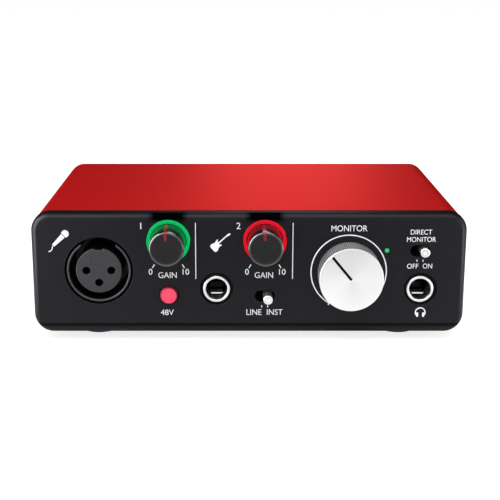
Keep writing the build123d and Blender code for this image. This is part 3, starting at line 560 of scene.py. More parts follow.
def addPiece(name, blocks, slotName, body="case", replaced=(), material=None, solid=True, sharp=40):
    # a finished piece, riding on its body
    piece = addObject(name, meshOf(name, blocks, solid, sharp))
    piece.data.materials.append(material or finishes[slotName])
    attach(piece, body)
    if replaced:
        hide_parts(*replaced)
    return piece


def turned(name, middle, corners, radii, slotName, body="case", replaced=(), steps=64, arc=8):
    # a solid turned about an axis that runs front to back, from (radius, depth) corners
    rows = sheath(circle(middle, steps), softened(corners, radii, arc))
    return addPiece(name, [band(rows)], slotName, body, replaced)


def closed(rows):
    # a grid with a flat face over its first and last row
    return [band(rows), cover(rows[0]), cover(rows[-1])]


def roundHole(middle, radius, steps):
    # outline of a round hole
    return outline(middle, (radius,) * 2, radius, steps)


bezelSizes = {"corner": 6.4, "edge": 2.1, "edgeDepth": 3.0, "backEdge": 0.15, "mouthEdge": 0.14,
              "plate": 2.5, "rim": 3.85, "microphone": 11.3, "jack": 5.45, "ring": 7.35, "monitor": 3.8,
              "button": 3.23, "lamp": 0.92, "slot": (3.3, 1.95), "narrower": 0.15}


def openings():
    # outlines of the holes in the front plate
    sizes = bezelSizes
    places = [("xlr_insert", "microphone"), ("instrument_jack_ring", "jack"), ("headphone_jack_ring", "jack"),
              ("gain_knob_1", "ring"), ("gain_knob_2", "ring"), ("monitor_knob", "monitor"),
              ("phantom_button", "button"), ("status_led", "lamp")]
    found = [roundHole(middleOf(node), sizes[key], 16) for node, key in places]
    for node in ("line_switch", "direct_switch"):
        found.append(outline(middleOf(node), sizes["slot"], sizes["slot"][1], 10))
    return found


def frontMoulding():
    # Cup with a rounded front edge, deeper than it is high, so its depths are stretched by
    # their share. Every opening has a small round at its mouth.
    sizes = bezelSizes
    share = sizes["edgeDepth"] / sizes["edge"]
    joint = depthsOf("case_sleeve")[0] / share
    half = halfOf("front_bezel") - (sizes["narrower"], 0)
    shape = outline(middleOf("case_sleeve"), half, sizes["corner"], 16)
    rim = -sizes["rim"]
    corners = [(rim, sizes["plate"] / share), (rim, joint), (0, joint), (0, 0), (-12, 0)]
    side = softened(corners, (0, sizes["backEdge"], sizes["edge"]), 14)[:-1] * (1, share)
    skin = sheath(shape, side)
    corners = [(1, 0), (0, 0), (0, sizes["plate"])]
    mouths = [sheath(hole, softened(corners, (sizes["mouthEdge"],), 5)[1:]) for hole in openings()]
    front = cover(skin[-1], *[mouth[0] for mouth in mouths])
    back = cover(skin[0], *[mouth[-1] for mouth in mouths])
    blocks = [band(skin), front, back] + [band(mouth) for mouth in mouths]
    addPiece("frontMoulding", blocks, "black_plastic", replaced=["front_bezel"])


sleeveSizes = {"corner": 6.1, "wall": 2.0, "edge": 0.12}


def sleeve():
    # closed tube with a slightly broken edge at both ends
    sizes = sleeveSizes
    front, back = depthsOf("case_sleeve")
    middle = (front + back) / 2
    shape = outline(middleOf("case_sleeve"), halfOf("case_sleeve"), sizes["corner"], 16)
    wall = -sizes["wall"]
    corners = [(0, middle), (0, front), (wall, front), (wall, back), (0, back), (0, middle)]
    profile = softened(corners, (sizes["edge"], 0, 0, sizes["edge"]), 4)
    addPiece("redSleeve", [band(sheath(shape, profile))], "red_anodised", replaced=["case_sleeve"])


frontMoulding()
sleeve()
print("case done")


def gainKnob(number):
    # tapered cap whose face is dished a little inside its rounded rim
    sizes = gainSizes
    front, back = depthsOf(f"gain_knob_{number}")
    lip = sizes["radius"] - 2 * sizes["edge"]
    corners = [(0, back - sizes["hollow"]), (sizes["bore"], back - sizes["hollow"]), (sizes["bore"], back),
               (sizes["base"], back), (sizes["radius"], front), (lip, front), (0, front + sizes["dish"])]
    turned(f"gainKnob{number}", middleOf(f"gain_knob_{number}"), corners,
           (0, 0, sizes["foot"], sizes["edge"], sizes["lip"]), "dark_gloss", f"gain_{number}",
           [f"gain_knob_{number}"], 96, 10)


pointerSizes = {"tip": 2.9, "tipHalf": 0.38, "rimHalf": 0.6, "backHalf": 0.42, "proud": 0.09, "sink": 0.3,
                "short": 0.7, "innerEdge": 0.12, "lean": 4}


def gainPointer(number):
    # Strip along the cap's side and over its face, from an outer and an inner run of (radius,
    # depth). Half width falls in a straight line from the rim to the tip and to the back.
    sizes = pointerSizes
    x, z = middleOf(f"gain_knob_{number}")
    front, back = depthsOf(f"gain_knob_{number}")
    radius, base = gainSizes["radius"], gainSizes["base"]
    runs = []
    outerEdge = gainSizes["edge"] + sizes["proud"]
    for away, edge in ((sizes["proud"], outerEdge), (-sizes["sink"], sizes["innerEdge"])):
        corners = [(base + away, back - sizes["short"]), (radius + away, front - away),
                   (sizes["tip"], front - away)]
        runs.append(softened(corners, (edge,), 6))
    outer, inner = runs
    onFace = np.interp(outer[:, 0], (sizes["tip"], radius), (sizes["tipHalf"], sizes["rimHalf"]))
    onSide = np.interp(outer[:, 1], (front, back), (sizes["rimHalf"], sizes["backHalf"]))
    half = np.minimum(onFace, onSide)
    aside = np.stack((-half, half, half, -half), 1)
    up, depth = (np.stack((outer[:, axis],) * 2 + (inner[:, axis],) * 2, 1) for axis in (0, 1))
    turn = radians(sizes["lean"])
    rows = np.stack((x + aside * cos(turn) - up * sin(turn), faceY + depth,
                     z + aside * sin(turn) + up * cos(turn)), -1)
    addPiece(f"gainPointer{number}", closed(rows), "red_plastic", f"gain_{number}",
             [f"gain_pointer_{number}"], plain["inlayRed"])


def ring(name, middle, sizes, depths, slotName, replaced, steps):
    # ring about an axis: a closed profile between its bore and its radius, softened in front
    bore, radius = sizes["bore"], sizes["radius"]
    front, back = depths
    corners = [(bore, back), (bore, front), (radius, front), (radius, back), (bore, back)]
    radii = (sizes.get("lead", sizes["edge"]), sizes["edge"], 0)
    turned(name, middle, corners, radii, slotName, replaced=[replaced], steps=steps)


def monitorKnob():
    # Knurled cap: radius = outer radius - knurl * (distance from the nearest ridge) ** sharpness,
    # behind a smooth land along the edge of its face.
    sizes = monitorSizes
    middle = middleOf("monitor_knob")
    radius = halfOf("monitor_knob")[0]
    front, back = depthsOf("monitor_knob")
    land = front + sizes["land"]
    corners = [(radius - sizes["backFlat"], back), (radius, back), (radius, front), (0, front)]
    profile = softened(corners, (sizes["foot"], sizes["chamfer"]), 6)
    steps = np.array([[0, back], *profile[:-1], [0, front]])
    along = np.array([[radius, land + step] for step in sizes["landStep"]])
    turn = np.searchsorted(-steps[1:-1, 1], -land) + 1
    steps = np.vstack((steps[:turn], along, steps[turn:]))
    rows = sheath(circle(middle, sizes["ridges"] * sizes["perRidge"]), steps)
    phase = np.arange(rows.shape[1]) / sizes["perRidge"]
    valley = sizes["knurl"] * (1 - np.abs(2 * (phase % 1) - 1)) ** sizes["sharpness"]
    cut = ((steps[:, 1] > land) & (steps[:, 0] > radius - sizes["sideReach"]))[:, None] * valley
    for axis, centre in ((0, middle[0]), (2, middle[1])):
        rows[..., axis] = centre + (rows[..., axis] - centre) * (1 - cut / radius)
    addPiece("monitorKnob", [band(rows)], "spun_aluminium", "monitor", ["monitor_knob"], sharp=28)
    # the mark runs from the axis to near the rim
    reach, width = radius * sizes["markShare"], sizes["markWidth"]
    angle = radians(90 + sizes["markAngle"])
    shape = outline((reach / 2, 0), (reach / 2, width / 2), width / 4, 4)
    strip = sheath(shape, np.array([[0, front + sizes["markSink"]], [0, front - sizes["markLift"]]]))
    x, z = strip[..., 0].copy(), strip[..., 2].copy()
    strip[..., 0] = middle[0] + x * cos(angle) - z * sin(angle)
    strip[..., 2] = middle[1] + x * sin(angle) + z * cos(angle)
    addPiece("monitorMark", closed(strip), "black_plastic", "monitor", ["monitor_pointer"],
             plain["markBlack"])


def capOf(name, node, sizes, slotName, body="case", steps=64):
    # disc with a softened front edge, its middle as far forward as its CAD node and its rim
    # lower by the crown
    front = depthsOf(node)[0]
    rim = front + sizes.get("crown", 0)
    corners = [(0, sizes["back"]), (sizes["radius"], sizes["back"]), (sizes["radius"], rim), (0, front)]
    turned(name, middleOf(node), corners, (0, sizes["edge"]), slotName, body, [node], steps)


leverSizes = {"radius": 1.58, "edge": 0.4, "dimple": 0.5, "dimpleDepth": 0.35, "dimpleEdge": 0.2,
              "short": {"line": 0.0, "direct": 2.2}, "aside": {"line": 0.0, "direct": 0.25}}


def lever(name):
    # round pin with a small dimple in its end
    sizes = leverSizes
    front, back = depthsOf(f"{name}_lever")
    front += sizes["short"][name]
    corners = [(0, back), (sizes["radius"], back), (sizes["radius"], front), (sizes["dimple"], front),
               (0, front + sizes["dimpleDepth"])]
    middle = middleOf(f"{name}_lever") + (sizes["aside"][name], 0)
    turned(f"{name}Lever", middle, corners, (0, sizes["edge"], sizes["dimpleEdge"]), "bright_metal", name,
           [f"{name}_lever"], steps=48)


for channel in (1, 2):
    gainKnob(channel)
    gainPointer(channel)
for channel, light in ((1, "green_light"), (2, "red_light")):
    ring(f"lightRing{channel}", middleOf(f"gain_knob_{channel}"), ringSizes, (0, ringSizes["back"]), light,
         f"gain_halo_{channel}", 96)
monitorKnob()
capOf("phantomCap", "phantom_button", buttonSizes, "pink_light", "phantom")
capOf("statusLamp", "status_led", lampSizes, "green_lens", steps=40)
lever("line")
lever("direct")
print("controls done")


def microphoneMiddle():
    # axis of the microphone socket, a radius above the underside of its notched insert
    middle = middleOf("xlr_insert")
    middle[1] = boxOf("xlr_insert")[0][2] + halfOf("xlr_insert")[0]
    return middle


def microphoneShell():
    # turned shell; its rim sinks by the latch depth within the latch width, over a short slope
    sizes = xlrSizes
    middle = microphoneMiddle()
    floor = depthsOf("xlr_insert")[1]
    radius, cavity = sizes["radius"], sizes["cavity"]
    corners = [(0, sizes["back"]), (radius, sizes["back"]), (radius, 0), (cavity, 0), (cavity, sizes["wall"]),
               (cavity, floor), (0, floor)]
    profile = softened(corners, (0, sizes["backEdge"], sizes["edge"], 0, sizes["floorEdge"]), 6)
    rows = sheath(circle(middle, 192), profile)
    aside = np.abs(rows[..., 0] - middle[0])
    inLatch = np.clip((sizes["latchWidth"] / 2 - aside) / sizes["latchSlope"], 0, 1)
    inLatch *= rows[..., 2] > middle[1]
    nearRim = np.clip(2 - profile[:, 1] / sizes["latchFade"], 0, 1)[:, None]
    rows[..., 1] += sizes["latchDepth"] * inLatch * nearRim
    addPiece("microphoneShell", [band(rows)], "dark_plastic", replaced=["xlr_shell"])


def microphoneInsert():
    # disc with three pin holes and a keyway in its top, and a plain sunk field above the holes
    sizes = xlrSizes
    middle = microphoneMiddle()
    front, back = sizes["lift"], depthsOf("xlr_insert")[1]
    corners = [(sizes["insert"], back), (sizes["insert"], front), (0, front)]
    rows = sheath(circle(middle, 240), softened(corners, (sizes["insertEdge"],), 6)[:-1])
    inKey = (np.abs(rows[..., 0] - middle[0]) < sizes["keyWidth"] / 2) & (rows[..., 2] > middle[1])
    rows[..., 2] -= sizes["keyDepth"] * inKey
    mouth = softened([(1, front), (0, front), (0, back)], (sizes["pinEdge"],), 4)[1:]
    holes = []
    for angle in (180, 270, 360):
        spot = middle + sizes["pinCircle"] * np.array((cos(radians(angle)), sin(radians(angle))))
        holes.append(sheath(roundHole(spot, sizes["pin"], 10), mouth))
    sunk = front + sizes["labelDepth"]
    corners = [(1, front), (0, front), (0, sunk), (-1, sunk)]
    step = softened(corners, (sizes["labelEdge"],) * 2, 2, 0.02)[1:-1]
    spot = (middle[0], middle[1] + sizes["labelRise"])
    field = sheath(outline(spot, sizes["label"], sizes["labelCorner"], 5), step)
    front, back = (cover(*loops, *[hole[end] for hole in holes])
                   for end, loops in ((0, (rows[-1], field[0])), (-1, (rows[0],))))
    blocks = [band(rows), front, band(field), cover(field[-1]), *[band(hole) for hole in holes], back]
    addPiece("microphoneInsert", blocks, "grey_plastic", replaced=["xlr_insert"])


jackSizes = {"radius": 4.42, "bore": 3.6, "edge": 0.22, "lead": 0.16, "leaf": (2.05, 1.6), "leafDrop": 1.6,
             "leafHeight": 0.45, "leafDepth": (1.6, 6.0),
             "leafAside": {"instrument": 0.05, "headphone": -0.7},
             "aside": {"instrument": (0.0, -0.1), "headphone": (-0.13, -0.1)}}


def jackRing(name):
    # ring with a softened outer edge and a small lead into its bore
    node = f"{name}_jack_ring"
    middle = middleOf(node) + jackSizes["aside"][name]
    ring(f"{name}Ring", middle, jackSizes, depthsOf(node), "bright_metal", node, 80)


def jackLeaf(name):
    # contact spring across the bore, a little wider at its top
    sizes = jackSizes
    x, z = middleOf(f"{name}_jack_ring")
    x += sizes["leafAside"][name]
    top, bottom = z - sizes["leafDrop"], z - sizes["leafDrop"] - sizes["leafHeight"]
    wide, narrow = sizes["leaf"]
    section = ((-wide, top), (-narrow, bottom), (narrow, bottom), (wide, top))
    rows = np.array([[(x + half, faceY + depth, height) for half, height in section]
                     for depth in sizes["leafDepth"]])
    addPiece(f"{name}Leaf", closed(rows), "bright_metal", sharp=30)


microphoneShell()
microphoneInsert()
for socket in ("instrument", "headphone"):
    jackRing(socket)
    jackLeaf(socket)
print("front sockets done")


rearSizes = {"corner": 5.5, "edge": 0.2, "frontEdge": 0.1, "mouthEdge": 0.12, "screw": 1.6, "head": 2.6,
             "collar": 5.5, "gap": 0.3, "gapCorner": 0.7, "lock": (3.5, 1.5), "lockCorner": 0.75,
             "lip": 0.3, "barrel": 4.15, "barrelBore": 3.5, "collarRadius": 5.2, "collarProud": 0.6,
             "collarEdge": 0.2, "fillet": 0.15}


def rearPlate():
    # flat plate with softened edges and mouths
    sizes = rearSizes
    front, back = depthsOf("rear_panel")
    shape = outline(middleOf("rear_panel"), halfOf("rear_panel"), sizes["corner"], 12)
    corners = [(-12, front), (0, front), (0, back), (-12, back)]
    side = sheath(shape, softened(corners, (sizes["frontEdge"], sizes["edge"]), 5)[1:-1])
    low, high = boxOf("rear_panel_screws")
    head = sizes["head"]
    spots = [(sign * (high[0] - head), z) for sign in (-1, 1) for z in (low[2] + head, high[2] - head)]
    holes = [roundHole(spot, sizes["screw"], 8) for spot in spots + [middleOf("phono_screw")]]
    holes += [roundHole(middleOf(f"phono_insert_{hand}"), sizes["collar"], 16) for hand in ("left", "right")]
    holes.append(outline(middleOf("usb_shell"), halfOf("usb_shell") + sizes["gap"], sizes["gapCorner"], 5))
    holes.append(outline(middleOf("lock_bracket"), sizes["lock"], sizes["lockCorner"], 6))
    corners = [(0, front), (0, back), (1, back)]
    mouths = [sheath(hole, softened(corners, (sizes["mouthEdge"],), 4)[:-1]) for hole in holes]
    blocks = [band(side), cover(side[-1], *[mouth[-1] for mouth in mouths]),
              cover(side[0], *[mouth[0] for mouth in mouths])] + [band(mouth) for mouth in mouths]
    addPiece("rearPlate", blocks, "black_metal", replaced=["rear_panel"])


def phonoShell(hand):
    # barrel with a rolled lip, standing on its collar
    sizes = rearSizes
    node = f"phono_shell_{hand}"
    front, tip = depthsOf(node)
    foot = depthsOf("rear_panel")[1] + sizes["collarProud"]
    bore, barrel, collar = sizes["barrelBore"], sizes["barrel"], sizes["collarRadius"]
    corners = [(bore, front), (collar, front), (collar, foot), (barrel, foot), (barrel, tip), (bore, tip),
               (bore, front)]
    radii = (0, sizes["collarEdge"], sizes["fillet"], sizes["lip"], sizes["fillet"])
    turned(f"phonoShell{hand.capitalize()}", middleOf(node), corners, radii, "bright_metal", replaced=[node],
           steps=80)


rearPlate()
phonoShell("left")
phonoShell("right")
print("back done")


# Printed legends. A place is across and up, in millimetres, from the middle of the node named.
legendSizes = {"lift": 0.03, "step": 0.002, "bold": -0.001}


def printed(points, triangles):
    # flat points (x, rise above the moulding's underside) as a block just proud of the face
    depths = np.full(len(points), faceY - legendSizes["lift"])
    return np.column_stack((points[:, 0], depths, underside + points[:, 1])), triangles


def riseOf(node):
    # middle of a node as x and rise above the moulding's underside
    return middleOf(node) - np.array((0, underside))


def words(text, node, offset, height, width=None):
    # text as flat triangles, scaled to a height and width about its middle
    curve = bpy.data.curves.new(text, "FONT")
    curve.body = text
    curve.offset = legendSizes["bold"]
    holder = bpy.data.objects.new(text, curve)
    mesh = bpy.data.meshes.new_from_object(holder)
    mesh.calc_loop_triangles()
    points = np.empty(len(mesh.vertices) * 3)
    mesh.vertices.foreach_get("co", points)
    points = points.reshape(-1, 3)[:, :2]
    triangles = np.empty(len(mesh.loop_triangles) * 3, int)
    mesh.loop_triangles.foreach_get("vertices", triangles)
    low, high = points.min(0), points.max(0)
    size = high - low
    scale = np.array((width / size[0] if width else height / size[1], height / size[1]))
    flat = (points - (low + high) / 2) * scale + riseOf(node) + np.array(offset)
    bpy.data.objects.remove(holder)
    bpy.data.curves.remove(curve)
    bpy.data.meshes.remove(mesh)
    return printed(flat, triangles.reshape(-1, 3))


def ribbon(path, width):
    # a line of constant width: each point is moved to both sides along its normal
    path = np.array(path, float)
    way = np.gradient(path, axis=0)
    way /= np.linalg.norm(way, axis=1)[:, None]
    side = np.column_stack((-way[:, 1], way[:, 0])) * width / 2
    count = len(path)
    first = np.arange(count - 1)
    faces = np.stack((first, first + 1, first + 1 + count, first + count), -1)
    return printed(np.concatenate((path - side, path + side)), faces)


def patch(loop):
    # a flat patch inside a loop, its triangles all turned the same way
    points = np.array(loop, float)
    flat = np.column_stack((points, np.zeros(len(points))))
    triangles = np.array(tessellate_polygon([flat.tolist()]))
    a, b, c = (points[triangles[:, index]] for index in range(3))
    turn = (b - a)[:, 0] * (c - a)[:, 1] - (b - a)[:, 1] * (c - a)[:, 0]
    triangles[turn < 0] = triangles[turn < 0][:, ::-1]
    return printed(points, triangles)


def arcOf(middle, radius, start, stop, steps=48):
    # points on an arc; angles in degrees, clockwise from the top
    turn = np.radians(np.linspace(start, stop, steps))
    return np.column_stack((middle[0] + radius * np.sin(turn), middle[1] + radius * np.cos(turn)))


def spoke(middle, angle, radii, width):
    # a short line across an arc
    return ribbon([arcOf(middle, radius, angle, angle, 1)[0] for radius in radii], width)


def turnedShape(points, angle, spot):
    # points turned anticlockwise by an angle in degrees and moved
    turn = radians(angle)
    spin = np.array(((cos(turn), sin(turn)), (-sin(turn), cos(turn))))
    return np.asarray(points) @ spin + np.array(spot)


# Legends of the two channels: their numbers, the ends of each gain scale with their figures, and
# the dividing lines, which stand aside of a gain knob and run between two rises.
gainPlan = {"numbers": {1: (-8.8, 5.4), 2: (-8.7, 5.4)}, "numberHeight": 2.15,
            "figures": {"0": (-1, (-5.9, -10.1)), "10": (1, (5.74, -10.1))}, "figureHeight": 1.95,
            "spoke": (8.9, 10.25), "spokeAngle": 149, "spokeWidth": 0.32,
            "name": ("GAIN", (-0.32, -11.22), 2.0, 6.05),
            "dividers": {1: 9.0, 2: 9.1}, "dividerRises": (18.8, 37.7), "dividerWidth": 0.25}


def gainLegends(number):
    # number of the channel, end marks of the scale with their figures, and its name
    plan = gainPlan
    node = f"gain_knob_{number}"
    blocks = [words(str(number), node, plan["numbers"][number], plan["numberHeight"])]
    for figure, (side, offset) in plan["figures"].items():
        blocks.append(spoke(riseOf(node), side * plan["spokeAngle"], plan["spoke"], plan["spokeWidth"]))
        blocks.append(words(figure, node, offset, plan["figureHeight"]))
    text, offset, height, width = plan["name"]
    blocks.append(words(text, node, offset, height, width))
    return blocks


def dividers():
    # upright lines to the right of each gain knob
    plan = gainPlan
    found = []
    for number, away in plan["dividers"].items():
        x = riseOf(f"gain_knob_{number}")[0] + away
        found.append(ribbon([(x, rise) for rise in plan["dividerRises"]], plan["dividerWidth"]))
    return found


# Words by the switches, with their height and width, and the pairs of ticks below the switches.
switchPlan = {
    "words": [("LINE", "line_switch", (-3.55, -5.5), 1.95, 5.0),
              ("INST", "line_switch", (3.35, -5.5), 1.95, 5.2),
              ("DIRECT", "direct_switch", (0.08, 6.43), 1.65, 6.95),
              ("MONITOR", "direct_switch", (0.2, 3.95), 1.65, 9.5),
              ("OFF", "direct_switch", (-2.35, -5.06), 1.65, 3.7),
              ("ON", "direct_switch", (2.53, -5.03), 1.65, 3.1)],
    "drops": {"line_switch": 3.5, "direct_switch": 3.2}, "aside": 1.0, "half": 0.35, "width": 0.28,
}


def switchLegends():
    # words, and a short upright tick on each side below a switch
    plan = switchPlan
    found = [words(*held) for held in plan["words"]]
    for node, drop in plan["drops"].items():
        middle = riseOf(node)
        for x in (middle[0] - plan["aside"], middle[0] + plan["aside"]):
            ends = [(x, middle[1] - drop + sign * plan["half"]) for sign in (-1, 1)]
            found.append(ribbon(ends, plan["width"]))
    return found


monitorPlan = {"name": ("MONITOR", "monitor_knob", (-0.1, 14.67), 2.0, 11.75),
               "power": ("48V", "phantom_button", (-0.6, -5.93), 1.9, 4.3),
               "radius": 12.4, "end": 150, "width": 0.37, "tick": (12.2, 13.1), "tickWidth": 0.45}


def monitorLegends():
    # the scale runs round the knob from its low end, where it has a small tick
    plan = monitorPlan
    centre = riseOf("monitor_knob")
    scale = ribbon(arcOf(centre, plan["radius"], -plan["end"], plan["end"], 120), plan["width"])
    tick = spoke(centre, -plan["end"], plan["tick"], plan["tickWidth"])
    return [words(*plan["name"]), scale, tick, words(*plan["power"])]


def curved(points, steps=8):
    # a smooth line through points: Catmull-Rom, with the first and last point doubled
    points = np.array([points[0], *points, points[-1]], float)
    share = np.linspace(0, 1, steps, endpoint=False)[:, None]
    found = []
    for a, b, c, d in zip(points[:-3], points[1:-2], points[2:-1], points[3:]):
        bend = 2 * a - 5 * b + 4 * c - d + share * (3 * (b - c) + d - a)
        found.append(b + 0.5 * share * (c - a + share * bend))
    return np.vstack(found + [points[-1:]])


# Small signs as outlines: x, and the rise above the moulding's underside. The microphone lies
# along its own axis from its foot, and is then turned by an angle in degrees.
microphonePlan = {"foot": (-64.14, 30.1), "angle": 44.4, "dome": (5.72, 1.12, 1.22),
                  "neck": [(4.93, 1.1), (4.93, -1.1)],
                  "body": [(0, -0.48), (4.7, -0.8), (4.7, 0.8), (0, 0.48)], "leadWidth": 0.29,
                  "lead": [(-64.29, 30.03), (-64.46, 29.35), (-64.61, 28.82), (-64.93, 28.36),
                           (-65.31, 28.14), (-65.75, 28.07)]}


def microphoneSign():
    # hand microphone: a head whose dome is half an ellipse, a tapered body and a short lead
    plan = microphonePlan
    turn = np.radians(np.linspace(-90, 90, 24))
    start, reach, half = plan["dome"]
    head = np.vstack((np.column_stack((start + reach * np.cos(turn), half * np.sin(turn))), plan["neck"]))
    shapes = [patch(turnedShape(shape, plan["angle"], plan["foot"])) for shape in (head, plan["body"])]
    return shapes + [ribbon(curved(plan["lead"]), plan["leadWidth"])]


instrumentPlan = {
    "body": [(-12.74, 29.88), (-12.4, 30.44), (-11.83, 30.75), (-11.25, 31.03), (-10.84, 31.54),
             (-10.47, 32.1), (-10.17, 32.14), (-10.26, 31.52), (-10.05, 31.02), (-9.72, 30.46),
             (-9.0, 30.48), (-9.02, 30.18), (-9.69, 29.65), (-9.92, 29.22), (-10.13, 28.66),
             (-10.49, 28.16), (-10.93, 27.96), (-11.32, 28.11), (-11.94, 28.74), (-12.44, 29.32),
             (-12.74, 29.88)],
    "neck": [(-10.22, 31.0), (-7.3, 33.6), (-7.05, 33.36), (-9.85, 30.7)],
    "head": [(-7.4, 33.56), (-6.88, 33.98), (-6.33, 34.24), (-6.06, 34.04), (-6.15, 33.72),
             (-6.62, 33.42), (-6.9, 33.14), (-7.12, 33.2)],
}


def instrumentSign():
    # electric guitar of no particular make: a smooth body with two horns, a neck and a head
    plan = instrumentPlan
    return [patch(curved(plan["body"], 4)[:-1]), patch(plan["neck"]), patch(plan["head"])]


headphonePlan = {"middle": (0.28, -8.15), "radius": 1.62, "end": 118, "width": 0.38,
                 "padAside": 1.02, "padRise": -0.72, "pad": (0.36, 0.78), "padCorner": 0.3}


def headphoneSign():
    # head band as an arc, and a rounded pad at each of its ends
    plan = headphonePlan
    centre = riseOf("headphone_jack_ring") + plan["middle"]
    found = [ribbon(arcOf(centre, plan["radius"], -plan["end"], plan["end"], 30), plan["width"])]
    for side in (-1, 1):
        spot = centre + (side * plan["padAside"], plan["padRise"])
        centres, directions, radius = outline(spot, plan["pad"], plan["padCorner"], 4)
        found.append(patch(centres + radius * directions))
    return found


def spread(blocks):
    # each block of a sign lies a hair above the one before, so that none shares a plane
    for index, (points, _) in enumerate(blocks):
        points[:, 1] -= legendSizes["step"] * index
    return blocks


prints = {
    "channelLegends": gainLegends(1) + gainLegends(2) + dividers(),
    "switchLegends": switchLegends(),
    "monitorLegends": spread(monitorLegends()),
    "microphoneSign": spread(microphoneSign()),
    "instrumentSign": spread(instrumentSign()),
    "headphoneSign": spread(headphoneSign()),
}
for name, blocks in prints.items():
    addPiece(name, blocks, "white_plastic", material=plain["inkWhite"], solid=False)
print("legends done")


# Lengths in metres; mirrors see the floor darken ahead of the object, as far as fadeAhead and as
# wide as fadeAside, and behind it over fadeBehind, all in millimetres.
studio = {"floorSize": 12.0, "floorColour": 0.90, "ambient": 0.30, "shadowShare": 0.45, "floorGlow": 0.80,
          "mirrorGlow": 0.03, "fadeAhead": (70, 210), "fadeAside": (85, 125), "fadeBehind": (-20, 70),
          "fadeColour": 0.32}
rightTarget = (0.03, -0.05, 0.03)
leftTarget = (-0.03, -0.05, 0.03)
# A lamp is an area light: where it hangs, what it faces, its size, its power in watts and
# whether mirrors see it.
lampPlan = {
    "topStrip": ((0.014, -0.01, 0.185), (0.014, -0.01, 0), (0.07, 0.26), 0.06, True),
    "rearStrip": ((0.026, 0.26, 0.17), (0.012, 0.02, 0.04), (0.10, 0.22), 0.34, True),
    "frontTop": ((0.05, -0.29, 0.60), (0, -0.045, 0.03), (0.80, 0.28), 2.7, True),
    "leftLow": ((-0.44, -0.12, 0.13), leftTarget, (0.05, 0.24), 0.30, True),
    "leftMiddle": ((-0.37, -0.17, 0.36), leftTarget, (0.05, 0.24), 0.34, True),
    "leftHigh": ((-0.20, -0.22, 0.54), leftTarget, (0.05, 0.24), 0.36, True),
    "rightSide": ((0.46, 0.02, 0.20), rightTarget, (0.14, 0.30), 0.42, True),
    "frontFill": ((0.1, -0.9, 0.50), (0, 0, 0.02), (0.9, 0.6), 2.2, False),
}
sunPlan = {"energy": 0.45, "angle": 60.0, "from": (-0.25, -0.3, 1.0)}
# A glowing card is seen in mirrors alone: its middle, what it faces, its size and its radiance.
glowPlan = {
    "leftGlow": ((-0.30, -0.13, 0.20), leftTarget, (0.30, 0.34), 12.0),
    "leftLowGlow": ((-0.125, -0.078, 0.024), (-0.07, -0.046, 0.024), (0.046, 0.046), 12.0),
    "rightLowGlow": ((0.125, -0.078, 0.024), (0.07, -0.046, 0.024), (0.046, 0.046), 8.0),
}
# Dark cards that only mirrors see, as lines (y, z) drawn across the width, and two sides.
cardPlan = {"cove": [(0.55, 0.0), (0.60, 0.35), (0.45, 0.65), (0.15, 0.80)], "half": 1.1,
            "sideX": 0.75, "side": [(-0.15, 0.0), (0.60, 0.0), (0.60, 0.7), (-0.15, 0.7)]}
square = ((-1, -1), (1, -1), (1, 1), (-1, 1))
white = (1, 1, 1, 1)


def aim(holder, spot, target):
    # put a lamp, card or camera at a spot, looking at a target
    holder.location = spot
    holder.rotation_euler = (Vector(target) - Vector(spot)).to_track_quat("-Z", "Y").to_euler()


def hideFrom(holder, *rays):
    # the named kinds of ray pass the object by
    for ray in rays:
        setattr(holder, f"visible_{ray}", False)


def seenWires(tree):
    # 1 for camera rays, and 1 for the highest of camera, mirror and transmission rays
    path = Wire(tree).node("ShaderNodeLightPath")
    outputs = path.socket.node.outputs
    camera, glossy, through = (Wire(tree, outputs[name]) for name in
                               ("Is Camera Ray", "Is Glossy Ray", "Is Transmission Ray"))
    return camera, camera.maths("MAXIMUM", camera.maths("MAXIMUM", camera, glossy), through)


def floor():
    # pale floor that keeps the shadow; what the camera sees of it is lifted to white
    sizes = studio
    half = sizes["floorSize"] / 2
    mesh = bpy.data.meshes.new("floor")
    mesh.from_pydata([(half * x, half * y, 0) for x, y in square], [], [(0, 1, 2, 3)])
    material, place = startMaterial("floorPaper")
    camera, seen = seenWires(material.node_tree)
    grain = noise(place, 4, 2)
    x, y, _ = across(place)
    far = between(y * -1, *sizes["fadeAhead"]) * (1 - between(x.maths("ABSOLUTE", x), *sizes["fadeAside"]))
    far = far.maths("MAXIMUM", far, between(y, *sizes["fadeBehind"]))
    tone = blend(grain, sizes["floorColour"], sizes["floorColour"] + 0.02)
    fallen = blend(far, tone, sizes["fadeColour"])
    plainPaper, faint, fading = (place.node("ShaderNodeBsdfDiffuse", inputs={"Color": colour})
                                 for colour in (tone, colourOf(sizes["shadowShare"]), fallen))
    lifted, mirrored = (place.node("ShaderNodeEmission", inputs={"Color": white, "Strength": sizes[key]})
                        for key in ("floorGlow", "mirrorGlow"))
    shown = place.node("ShaderNodeAddShader", inputs={0: faint, 1: lifted})
    mirrored = place.node("ShaderNodeAddShader", inputs={0: fading, 1: mirrored})
    other = place.node("ShaderNodeMixShader", inputs={0: seen, 1: plainPaper, 2: mirrored})
    mixed = place.node("ShaderNodeMixShader", inputs={0: camera, 1: other, 2: shown})
    place.node("ShaderNodeOutputMaterial", inputs={"Surface": mixed})
    mesh.materials.append(material)
    addObject("floor", mesh)


def world():
    # white to the camera and in mirrors, and a plain ambient level as light
    made = bpy.data.worlds.new("studio")
    made.use_nodes = True
    made.node_tree.nodes.clear()
    _, seen = seenWires(made.node_tree)
    strength = studio["ambient"] + seen * (1 - studio["ambient"])
    sky = seen.node("ShaderNodeBackground", inputs={"Color": white, "Strength": strength})
    seen.node("ShaderNodeOutputWorld", inputs={"Surface": sky})
    bpy.context.scene.world = made


